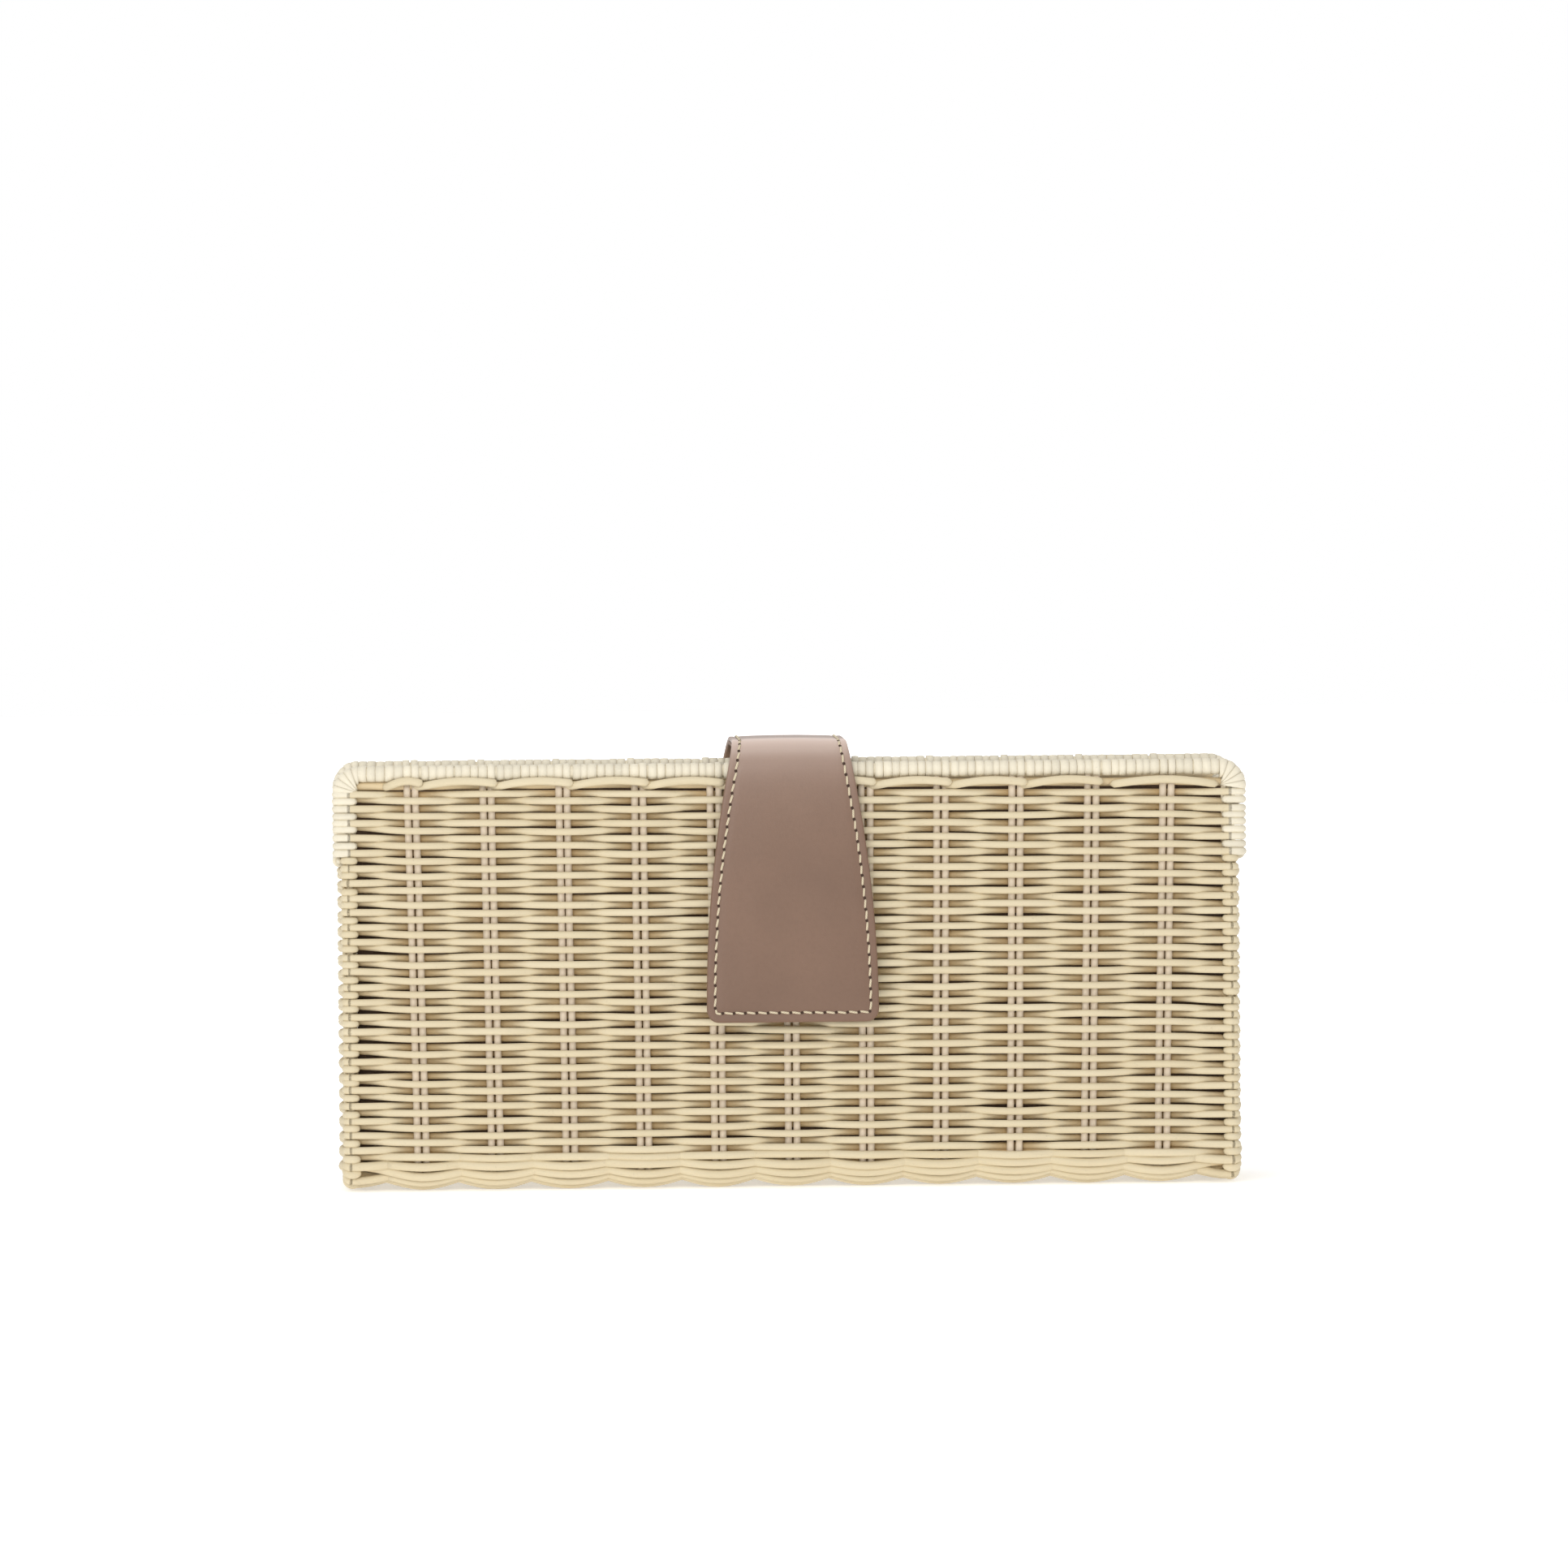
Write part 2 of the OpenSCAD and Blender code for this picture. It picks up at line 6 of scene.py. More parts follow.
import bpy
import numpy as np
from mathutils import Euler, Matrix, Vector


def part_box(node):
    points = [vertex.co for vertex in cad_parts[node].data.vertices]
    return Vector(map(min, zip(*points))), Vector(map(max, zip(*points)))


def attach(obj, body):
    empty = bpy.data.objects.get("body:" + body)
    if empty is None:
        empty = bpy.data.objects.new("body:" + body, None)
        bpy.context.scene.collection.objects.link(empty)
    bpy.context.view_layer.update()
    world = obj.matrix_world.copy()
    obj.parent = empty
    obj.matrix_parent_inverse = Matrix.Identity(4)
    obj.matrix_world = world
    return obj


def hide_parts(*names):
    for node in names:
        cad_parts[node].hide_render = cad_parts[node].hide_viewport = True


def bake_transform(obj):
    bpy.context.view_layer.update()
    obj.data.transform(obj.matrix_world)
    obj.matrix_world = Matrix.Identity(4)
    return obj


bl_info = {
    "name": "Woven Clutch",
    "version": (1, 0, 0),
    "blender": (4, 5, 0),
    "location": "View3D > Sidebar > Clutch",
    "description": "Weaves the clutch strand by strand and dresses its strap, lining and snap",
    "category": "Object",
}

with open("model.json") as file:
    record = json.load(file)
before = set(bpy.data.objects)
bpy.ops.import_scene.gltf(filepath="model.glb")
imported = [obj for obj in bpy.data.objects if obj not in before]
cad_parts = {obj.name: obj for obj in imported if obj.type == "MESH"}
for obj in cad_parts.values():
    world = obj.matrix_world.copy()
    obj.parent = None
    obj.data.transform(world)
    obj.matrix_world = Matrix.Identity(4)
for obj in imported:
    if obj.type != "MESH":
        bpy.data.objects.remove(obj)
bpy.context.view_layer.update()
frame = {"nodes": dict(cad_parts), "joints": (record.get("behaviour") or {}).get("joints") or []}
HINGE = frame["joints"][0]["pos_m"]
ACROSS, DEEPER, UP = np.eye(3)


def paint(red, green, blue):
    """Linear colour of a paint chip given in 0 to 255."""
    chip = np.array([red, green, blue]) / 255
    return tuple(np.where(chip <= 0.04045, chip / 12.92, ((chip + 0.055) / 1.055) ** 2.4))


def length(name, description, metres):
    """Property for a length in metres."""
    return bpy.props.FloatProperty(
        name=name, description=description, default=metres, unit="LENGTH", precision=5
    )


def colour(name, description, chip):
    """Property for a colour."""
    return bpy.props.FloatVectorProperty(
        name=name, description=description, subtype="COLOR", size=3, min=0, max=1, default=chip
    )


# ---- Sizes and colours ----


class BasketSizes(bpy.types.PropertyGroup):
    """Outer sizes of the basket"""

    width: length("Width", "Overall width across the rims", 0.290)
    height: length("Height", "Height from the table to the top of the rims", 0.135)
    base_depth: length("Depth at the base", "Depth over the weave at the base", 0.050)
    mouth_depth: length("Depth at the mouth", "Depth over the weave at the rims", 0.044)
    bend: length("Bend", "Radius of the bend from a face into the base", 0.007)
    side_drop: length("Side drop", "How far the side walls stop below the rims", 0.028)
    side_inset: length("Side inset", "How far the side weave sits inside the width", 0.0009)


class WeaveSizes(bpy.types.PropertyGroup):
    """Sizes of the weave"""

    stakes: bpy.props.IntProperty(
        name="Stake pairs", description="Pairs of stakes across a face", default=11
    )
    rod: length("Stake rod", "Diameter of one rod of a stake", 0.0023)
    spread: length("Rod spacing", "Distance between the two rods of a stake", 0.0027)
    weaver: length("Weaver", "Diameter of a weaver", 0.00235)
    edge_bay: length("Edge bay", "Distance from the edge to the first stake", 0.025)
    narrowing: length("Narrowing", "How much narrower the stakes stand at the base", 0.0055)
    first_row: length("First row", "Place of the hidden first row below the rim", 0.00385)
    drift: length("Row drift", "How much lower the rows lie at the right end", 0.0019)
    dive: length("Dive", "Slant of the rows that go in behind a rail", 0.0009)
    unevenness: length("Unevenness", "How far strands wander from their line", 0.00019)


class RimSizes(bpy.types.PropertyGroup):
    """Sizes of rims, rails and borders"""

    rim: length("Rim", "Diameter of the wrapped rim", 0.0052)
    corner: length("Corner", "Outer radius of the rim's corners", 0.0085)
    leg: length("Leg width", "Width of the wrapped legs below the corners", 0.0083)
    rail: length("Rail", "Diameter of the wrapped edge rails", 0.0058)
    side_border: length("Side border", "Diameter of the border over a side wall", 0.0042)
    turn: length("Turn", "Width of one turn of the winding", 0.00275)
    cane: length("Cane", "Thickness of the winding", 0.0014)
    strand: length("Border strand", "Diameter of a turned-down stake end", 0.0026)
    snug: length("Snug", "How far the turned-down ends are pushed up under the rim", 0.0007)


class StrapSizes(bpy.types.PropertyGroup):
    """Sizes of the leather strap"""

    rise: length("Rise", "Height of the strap above the rims", 0.007)
    face: length("Face", "Height of the face from its top to its lower end", 0.0888)
    top_width: length("Top width", "Width where it crosses the mouth", 0.0358)
    end_width: length("End width", "Width at the lower end", 0.0544)
    corner: length("Corner", "Radius of the lower corners", 0.004)
    leather: length("Leather", "Thickness of the outer leather", 0.0014)
    backing: length("Backing", "Thickness of the backing leather", 0.0012)
    sewn: length("Sewn part", "Length sewn to the back wall", 0.055)
    inset: length("Stitch inset", "Distance of the stitches from the edge", 0.0026)
    stitch: length("Stitch pitch", "Distance from one stitch to the next", 0.0036)
    thread: length("Thread", "Thickness of the thread", 0.0007)
    snap: length("Snap", "Thickness of the closed snap with its play", 0.00415)
    snap_up: length("Snap height", "Height of the snap above the lower end", 0.018)


class FinishColours(bpy.types.PropertyGroup):
    """Colours of the finishes"""

    cane: colour("Cane", "Colour of the weavers", paint(219, 206, 176))
    cane_shade: colour("Darker cane", "Colour of the darker weavers", paint(213, 198, 165))
    # Painted shade: the colour that multiplies the stretches lying in the recesses behind the stakes
    shade: colour("Shade", "What the hidden stretches are stained with", paint(255, 238, 212))
    rod: colour("Rod", "Colour of the stakes", paint(232, 216, 193))
    wrap: colour("Winding", "Colour of the rim's winding", paint(237, 228, 206))
    leather: colour("Leather", "Colour of the strap", paint(118, 91, 74))
    leather_edge: colour("Leather edge", "Colour of the strap's cut edges", paint(104, 80, 64))
    # Painted highlight: the pale colour of the strap where it bends over the mouth
    leather_highlight: colour("Leather fold", "Colour of the strap where it folds", paint(222, 199, 186))
    backing: colour("Backing", "Colour of the backing leather", paint(150, 124, 106))
    thread: colour("Thread", "Colour of the stitches", paint(232, 216, 184))
    # Painted shade: the dark colour that stands for the shadow inside a needle hole
    hole: colour("Needle hole", "Colour of the needle holes", paint(70, 50, 38))
    lining: colour("Lining", "Colour of the lining cloth", paint(104, 84, 68))
    metal: colour("Snap", "Colour of the snap's metal", paint(206, 176, 112))


class ViewSettings(bpy.types.PropertyGroup):
    """Camera and lamps"""

    distance: length("Distance", "Distance of the camera from the clutch", 3.0)
    lens: bpy.props.FloatProperty(
        name="Lens", description="Focal length for a 36 mm wide picture", default=216, unit="CAMERA"
    )
    bearing: bpy.props.FloatProperty(
        name="Bearing",
        description="How far the camera stands to the left of the front",
        default=math.radians(2.5),
        subtype="ANGLE",
    )
    elevation: bpy.props.FloatProperty(
        name="Elevation",
        description="How far the camera stands above the clutch",
        default=math.radians(2.6),
        subtype="ANGLE",
    )
    roll: bpy.props.FloatProperty(
        name="Roll", description="Turn of the picture", default=math.radians(0.42), subtype="ANGLE"
    )
    ambient: bpy.props.FloatProperty(
        name="Ambient", description="Light from all round", default=0.66
    )
    key: bpy.props.FloatProperty(name="Key", description="Power of the top lamp", default=2.2)
    fill: bpy.props.FloatProperty(name="Fill", description="Power of the front lamp", default=12)


# ---- Surfaces ----


def unit(vectors):
    """Vectors brought to length one."""
    return vectors / np.linalg.norm(vectors, axis=-1, keepdims=True)


def distances(lines):
    """Length along each line from its first point: the running sum of its steps."""
    steps = np.linalg.norm(np.diff(lines, axis=1), axis=-1)
    return np.concatenate([np.zeros((len(lines), 1)), np.cumsum(steps, axis=1)], axis=1)


def rounded_rings(lines, radii, up, sides=10):
    """Rings of round strands: line + radius * (cos a * n + sin a * b).

    n stands square to the line and to up, and b square to both, so n, b and the line's
    direction are right-handed. The angle starts opposite n, where the seam lies."""
    along = unit(np.gradient(lines, axis=1))
    n = unit(np.cross(np.broadcast_to(up, lines.shape), along))
    b = np.cross(along, n)
    a = math.pi + 2 * math.pi * np.arange(sides)[:, None] / sides
    radii = np.broadcast_to(radii, lines.shape[:2])[:, :, None, None]
    return lines[:, :, None] + radii * (np.cos(a) * n[:, :, None] + np.sin(a) * b[:, :, None])


def strand_mesh(name, bundles):
    """One mesh of many closed strands.

    A bundle is rings (strand, ring, corner, xyz), the length along each strand, a tint for
    each strand, whether its rings close into a loop, and where it is given, a share of painted
    light for each ring: painted shade on the weave where a ring lies behind the others, and a
    painted highlight on the strap. Faces run from ring to ring and from corner to corner; open
    strands get an end face each."""
    points, quads, caps, quad_uv, cap_uv, tints, painted_lights = [], [], [], [], [], [], []
    start = 0
    for rings, run, tint, loop, *deep in bundles:
        n, m, k, _ = rings.shape
        painted_lights.append(np.repeat(deep[0].ravel() if deep else np.zeros(n * m), k))
        grid = start + np.arange(n * m * k).reshape(n, m, k)
        a, b = (grid, np.roll(grid, -1, axis=1)) if loop else (grid[:, :-1], grid[:, 1:])
        quads.append(
            np.stack([a, np.roll(a, -1, axis=2), np.roll(b, -1, axis=2), b], axis=-1).reshape(-1, 4)
        )
        steps = a.shape[1]
        uv = np.zeros((n, steps, k, 4, 2))
        uv[..., 0] = np.stack([run[:, :steps]] * 2 + [run[:, 1 : steps + 1]] * 2, -1)[:, :, None]
        corner = np.arange(k)[:, None]
        uv[..., 1] = np.concatenate([corner, corner + 1, corner + 1, corner], axis=1) / k
        quad_uv.append(uv.reshape(-1, 2))
        if not loop:
            caps.append(np.concatenate([grid[:, 0, ::-1], grid[:, -1]]))
            ends = np.concatenate([run[:, 0], run[:, -1]])
            cap_uv.append(
                np.stack([np.repeat(ends, k), np.tile(np.arange(k) / k, 2 * n)], axis=-1)
            )
        points.append(rings.reshape(-1, 3))
        tints.append(np.repeat(tint, m * k))
        start += n * m * k
    loops = np.concatenate([q.ravel() for q in quads] + [c.ravel() for c in caps])
    sizes = np.concatenate(
        [np.full(len(q), 4) for q in quads] + [np.full(len(c), c.shape[1]) for c in caps]
    )
    return surface(
        name,
        np.concatenate(points),
        loops,
        sizes,
        np.concatenate(quad_uv + cap_uv),
        {"tint": np.concatenate(tints), "deep": np.concatenate(painted_lights)},
    )


def surface(name, points, loops, sizes, uv, values):
    """Object from flat arrays of points, face corners, face sizes, UV and values per point."""
    mesh = bpy.data.meshes.new(name)
    mesh.vertices.add(len(points))
    mesh.vertices.foreach_set("co", points.astype(np.float32).ravel())
    mesh.loops.add(len(loops))
    mesh.loops.foreach_set("vertex_index", loops.astype(np.int32))
    mesh.polygons.add(len(sizes))
    mesh.polygons.foreach_set(
        "loop_start", np.concatenate([[0], np.cumsum(sizes)[:-1]]).astype(np.int32)
    )
    mesh.polygons.foreach_set("use_smooth", np.ones(len(sizes), bool))
    mesh.update(calc_edges=True)
    layer = mesh.uv_layers.new(name="strand")
    layer.data.foreach_set("uv", uv.astype(np.float32).ravel())
    for key, value in values.items():
        mesh.attributes.new(key, "FLOAT", "POINT").data.foreach_set(
            "value", value.astype(np.float32)
        )
    mesh.validate()
    piece = bpy.data.objects.new(name, mesh)
    bpy.context.scene.collection.objects.link(piece)
    return piece


def half_turned(bundles):
    """The same bundles turned by 180 degrees about Z."""
    return [(rings * np.array([-1, -1, 1]), *rest) for rings, *rest in bundles]


def above_table(rings):
    """The rings, pushed up where they would dip under the table."""
    lowest = 0.00005
    rings[..., 2] = np.maximum(rings[..., 2], lowest)
    return rings


def strands(rings, run, rng, loop=False):
    """Bundle of strands, each with a random start of its grain and a random tint."""
    count = len(rings)
    return rings, run + rng.uniform(0, 9, (count, 1)), rng.uniform(0, 1, count), loop


def rods(lines, radius, up, rng):
    """Bundle of plain round rods along the lines."""
    return rounded_rings(lines, radius, up), distances(lines), rng.uniform(0, 1, len(lines)), False


def blunt(wave, power):
    """A wave between -1 and 1 made squarer: its sign times its size to a small power."""
    return np.sign(wave) * np.abs(wave) ** power


def dress(piece, body, material, nodes=()):
    """Gives a piece its material and body, and hides the solids that it stands for."""
    piece.data.materials.append(material)
    if nodes:
        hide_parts(*nodes)
    if body:
        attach(piece, body)
    return piece


# ---- Form of the basket ----


class Section:
    """The basket's section: down the front, round a bend, under the base and up the back.

    A place is x across, s along the section from the front rim, and out from the middle of
    the wall."""

    def __init__(self, scene):
        basket, weave, rims = scene.clutch_basket, scene.clutch_weave, scene.clutch_rims
        self.width = basket.width
        self.crest = weave.rod / 2 + weave.weaver
        self.half_mouth = basket.mouth_depth / 2 - self.crest
        self.rim_z = basket.height - rims.rim / 2
        self.bend = basket.bend
        self.bend_y = basket.base_depth / 2 - self.crest - self.bend
        self.bend_z = self.crest + self.bend
        reach = math.hypot(self.half_mouth - self.bend_y, self.rim_z - self.bend_z)
        self.lean = math.asin(self.bend / reach) - math.atan2(
            self.half_mouth - self.bend_y, self.rim_z - self.bend_z
        )
        self.face = math.sqrt(reach**2 - self.bend**2)
        self.arc = self.bend * (math.pi / 2 + self.lean)
        self.half = self.face + self.arc + self.bend_y
        self.count = weave.stakes
        self.span = basket.width - 2 * weave.edge_bay
        self.bay = self.span / (self.count - 1)
        self.narrowing = weave.narrowing / self.span

    def turn(self, s):
        """Turn of the outward normal: the face's lean, then growing evenly round the bend."""
        t = np.minimum(s, 2 * self.half - s)
        return np.clip(-self.lean + (t - self.face) / self.bend, -self.lean, math.pi / 2)

    def place(self, x, s, out):
        """Points: a straight line on a face, an arc in a bend, a straight line under the base,
        mirrored about the middle of the base, and moved along the normal by out."""
        x, s, out = np.broadcast_arrays(x, s, out)
        t = np.minimum(s, 2 * self.half - s)
        turn = self.turn(s)
        on_face = np.minimum(t, self.face)
        beyond = np.maximum(t - self.face - self.arc, 0)
        y = np.where(
            t < self.face,
            -self.half_mouth - on_face * math.sin(self.lean),
            -self.bend_y - self.bend * np.cos(turn) + beyond,
        )
        z = np.where(
            t < self.face,
            self.rim_z - on_face * math.cos(self.lean),
            self.bend_z - self.bend * np.sin(turn),
        )
        side = np.where(s > self.half, -1, 1)
        return np.stack([x, side * (y - out * np.cos(turn)), z - out * np.sin(turn)], axis=-1)

    def downhill(self, s):
        """Direction of growing s."""
        turn = self.turn(s)
        side = np.where(s > self.half, -1, 1)
        return np.stack([np.zeros_like(turn), np.sin(turn), -np.cos(turn) * side], axis=-1)

    def samples(self, start, on_face, in_bend, on_base):
        """Values of s down a face, round a bend, to the middle of the base, and mirrored."""
        bend_end = self.face + self.arc
        s = np.concatenate(
            [
                np.linspace(start, self.face, on_face)[:-1],
                np.linspace(self.face, bend_end, in_bend)[:-1],
                np.linspace(bend_end, self.half, on_base),
            ]
        )
        return np.concatenate([s, 2 * self.half - s[-2::-1]])

    def height(self, s):
        """Height of the middle of the wall."""
        return self.place(0, s, 0)[..., 2]

    def stake_x(self, k, s):
        """Place across of stake k, which may be a fraction between two stakes."""
        shrink = 1 - self.narrowing * (1 - self.height(s) / self.rim_z)
        return (k - (self.count - 1) / 2) * self.bay * shrink


def wander(rng, count, steps, knots, reach):
    """Smooth small shifts: random values at the knots, blended between them by a cosine."""
    values = rng.normal(0, reach, (count, knots))
    at = np.linspace(0, knots - 1, steps)
    low = np.minimum(at.astype(int), knots - 2)
    blend = (1 - np.cos(math.pi * (at - low))) / 2
    return values[:, low] * (1 - blend) + values[:, low + 1] * blend


def winding(inner, outer, radius, steps):
    """Places and depths along one turn round an edge rod, starting in front of its inner side.

    The line is a straight run from inner to outer, a half circle, a straight run back and
    three quarters of a right angle more, at even steps."""
    more = 1.2
    straight = np.abs(outer - inner)[:, None]
    radius = radius[:, None]
    way = np.sign(outer - inner + 1e-12 * outer)[:, None]
    total = 2 * straight + (math.pi + more) * radius
    t = total * np.linspace(0, 1, steps + 1)[None, 1:]
    first = np.clip(t / radius - straight / radius, 0, math.pi)
    second = np.clip((t - 2 * straight) / radius - math.pi, 0, None)
    back = np.clip(t - straight - math.pi * radius, 0, straight)
    run = np.minimum(t, straight)
    x = inner[:, None] + way * (run - back + radius * np.sin(first) - radius * np.sin(second))
    depth = np.where(second > 0, -radius * np.cos(second), radius * np.cos(first))
    return x, depth


def recess_shade(depth):
    """How much darker a stretch is painted, as painted shade: none at the front, all of it well
    behind the stakes, in the recesses where shade falls.
    """
    begins, over = 0.0006, 0.0016
    return np.clip((-begins - depth) / over, 0, 1)


class Weave:
    """Strands of all weavers, from the turn round the left rail to the turn round the right one."""

    # Steps across a bay and round an edge rod
    WALL, WRAP = 8, 14
    # How much thicker a row is in the bend and round a rod, and how thick its second strand is
    IN_BEND, ROUND_ROD, SECOND = 0.22, 1.06, 0.96

    def __init__(self, scene, section):
        weave, rims, basket = scene.clutch_weave, scene.clutch_rims, scene.clutch_basket
        rng = np.random.default_rng(7)
        rows = 2 * round((section.half - weave.first_row) / weave.weaver)
        pitch = 2 * (section.half - weave.first_row) / rows
        i = np.arange(1, rows)[:, None]
        s = weave.first_row + i * pitch
        from_rim = np.minimum(s, 2 * section.half - s)
        last = section.count - 1
        k = np.linspace(-1, section.count, (section.count + 1) * self.WALL + 1)[None]
        steps = k.shape[1]

        # Edge rods: one wide leg near the rims, and the rail further down
        leg = (from_rim < basket.side_drop - rims.rim / 2)[:, 0]
        thick = np.where(leg, rims.rim, rims.rail)
        radius = (thick - weave.weaver) / 2
        inner = section.width / 2 - rims.leg + thick / 2
        outer = np.where(leg, section.width / 2 - thick / 2, inner)

        # Wall: the rows swing from one side of the stakes to the other
        beyond = np.maximum(-k, k - last).clip(0, 1)
        reach = (weave.rod + weave.weaver) / 2 * (1 - beyond) + radius[:, None] * beyond
        depth = reach * np.cos(math.pi * (k + i))
        depth = depth + wander(rng, len(s), steps, 2 * section.count + 3, weave.unevenness / 2)
        at_stake = section.stake_x(np.clip(k, 0, last), s)
        edge = np.sign(k - last / 2) * inner[:, None]
        x = at_stake * (1 - beyond) + edge * beyond
        level = s + wander(rng, len(s), steps, section.count + 2, weave.unevenness)

        # Turns round the rods: every other row goes in behind and slants until it has turned
        wrap_x, wrap_depth = winding(inner, outer, radius, self.WRAP)
        behind = i % 2 == 0
        wrap_depth = np.where(behind, -wrap_depth, wrap_depth)
        x = np.concatenate([-wrap_x[:, ::-1], x, wrap_x], axis=1)
        depth = np.concatenate([wrap_depth[:, ::-1], depth, wrap_depth], axis=1)
        slant = weave.dive * behind * np.sign(k) * beyond**1.5
        level = level + slant
        slant_ends = 0.3
        turned = np.clip(np.linspace(0, 1, self.WRAP)[None] / slant_ends, 0, 1)
        level = np.concatenate(
            [
                level[:, :1] - slant[:, :1] * turned[:, ::-1],
                level,
                level[:, -1:] - slant[:, -1:] * turned,
            ],
            axis=1,
        )
        fade = np.clip(2 * (1 - s / section.half), 0, 1)
        level = level + fade * weave.drift * (x / section.width + 0.5)

        # Strands, thicker round the rods and in the bend
        bend_middle, bend_reach = section.face + 0.004, 0.009
        bent = np.clip(1 - np.abs(from_rim - bend_middle) / bend_reach, 0, 1)
        size = weave.weaver / 2 * rng.uniform(0.96, 1.03, (len(s), 1)) * (1 + self.IN_BEND * bent)
        size = size * np.repeat([self.ROUND_ROD, 1, self.ROUND_ROD], [self.WRAP, steps, self.WRAP])
        down = section.downhill(s).repeat(x.shape[1], 1)
        lines = section.place(x, level, depth)
        rings = above_table(rounded_rings(lines, size, down))
        self.rings, self.run, self.tint, _ = strands(rings, distances(lines), rng)
        # Painted shade for each ring, growing as the stretch goes in behind the stakes
        self.deep = recess_shade(depth)
        self.s, self.leg = s[:, 0], leg

        # Rows beaten down in the bend: each has a second strand on the stakes' other side
        packed, inset = bent[:, 0] > 0.3, self.WRAP + self.WALL // 2
        cut = packed, slice(inset, -inset)
        lines = section.place(x, level, -depth)[cut]
        self.packed = (
            above_table(rounded_rings(lines, self.SECOND * size[cut], down[cut])),
            distances(lines) + self.run[packed, :1],
            1 - self.tint[packed],
            False,
            recess_shade(-depth[cut]),
        )

    def part(self, rows, low, high):
        """Bundle of some rows, from ring low to ring high."""
        cut = rows, slice(low, high)
        return self.rings[cut], self.run[cut], self.tint[rows], False, self.deep[cut]

    def wall(self, rows):
        """The rows between the rods."""
        return self.part(rows, self.WRAP - 1, -self.WRAP + 1)

    def left_turns(self, rows):
        """The turns round the left rod."""
        return self.part(rows, 0, self.WRAP + 1)

    def right_turns(self, rows):
        """The turns round the right rod."""
        return self.part(rows, -self.WRAP - 1, None)


def border_row(scene, section, drift):
    """The flat row under the rim, behind the turned-down stake ends: a straight strand,
    lower by half of drift at the right end, and half darkened all along by painted shade,
    as it lies in the shade under the stake ends."""
    weave, rims = scene.clutch_weave, scene.clutch_rims
    rng = np.random.default_rng(17)
    steps, above, behind, thicker, shaded = 60, 0.0001, 0.0009, 1.2, 0.5
    reach = section.width / 2 - rims.leg + rims.rim / 2
    x = np.linspace(-reach, reach, steps)[None]
    s = weave.first_row - above + 0.5 * drift * (x / section.width + 0.5)
    s = s + wander(rng, 1, steps, 14, 0.00012)
    lines = section.place(x, s, -behind)
    row = rods(lines, thicker * weave.weaver / 2, section.downhill(s), rng)
    return *row, np.full((1, steps), shaded)


def stake_bundle(scene, section):
    """Pairs of rods that run down the front, under the base and up the back."""
    weave = scene.clutch_weave
    rng = np.random.default_rng(11)
    below_rim = 0.0022
    s = section.samples(below_rim, 26, 9, 4)[None]
    k = np.repeat(np.arange(section.count), 2)[:, None]
    side = np.tile([-0.5, 0.5], section.count)[:, None] * weave.spread
    x = section.stake_x(k, s) + side + wander(rng, len(k), s.shape[1], 9, 0.00008)
    lines = section.place(x, s, 0)
    return strands(rounded_rings(lines, weave.rod / 2, ACROSS), distances(lines), rng)


def stadium(straight, radius, steps):
    """Points and outward normals round a slot shape, at even steps of its outline.

    It starts at the far end of the slot and turns towards growing depth."""
    straight, radius = np.broadcast_arrays(straight[:, None], radius[:, None])
    total = 2 * straight + 2 * math.pi * radius
    t = total * np.arange(steps)[None] / steps
    quarter = math.pi / 2 * radius
    first = np.clip(t, 0, quarter) / radius
    down = np.clip(t - quarter, 0, straight)
    second = np.clip(t - quarter - straight, 0, 2 * quarter) / radius
    up = np.clip(t - 3 * quarter - straight, 0, straight)
    third = np.clip(t - 3 * quarter - 2 * straight, 0, quarter) / radius
    angle = first + second + third
    along = straight / 2 - down + up + radius * np.cos(angle)
    return along, radius * np.sin(angle), np.cos(angle), np.sin(angle), total


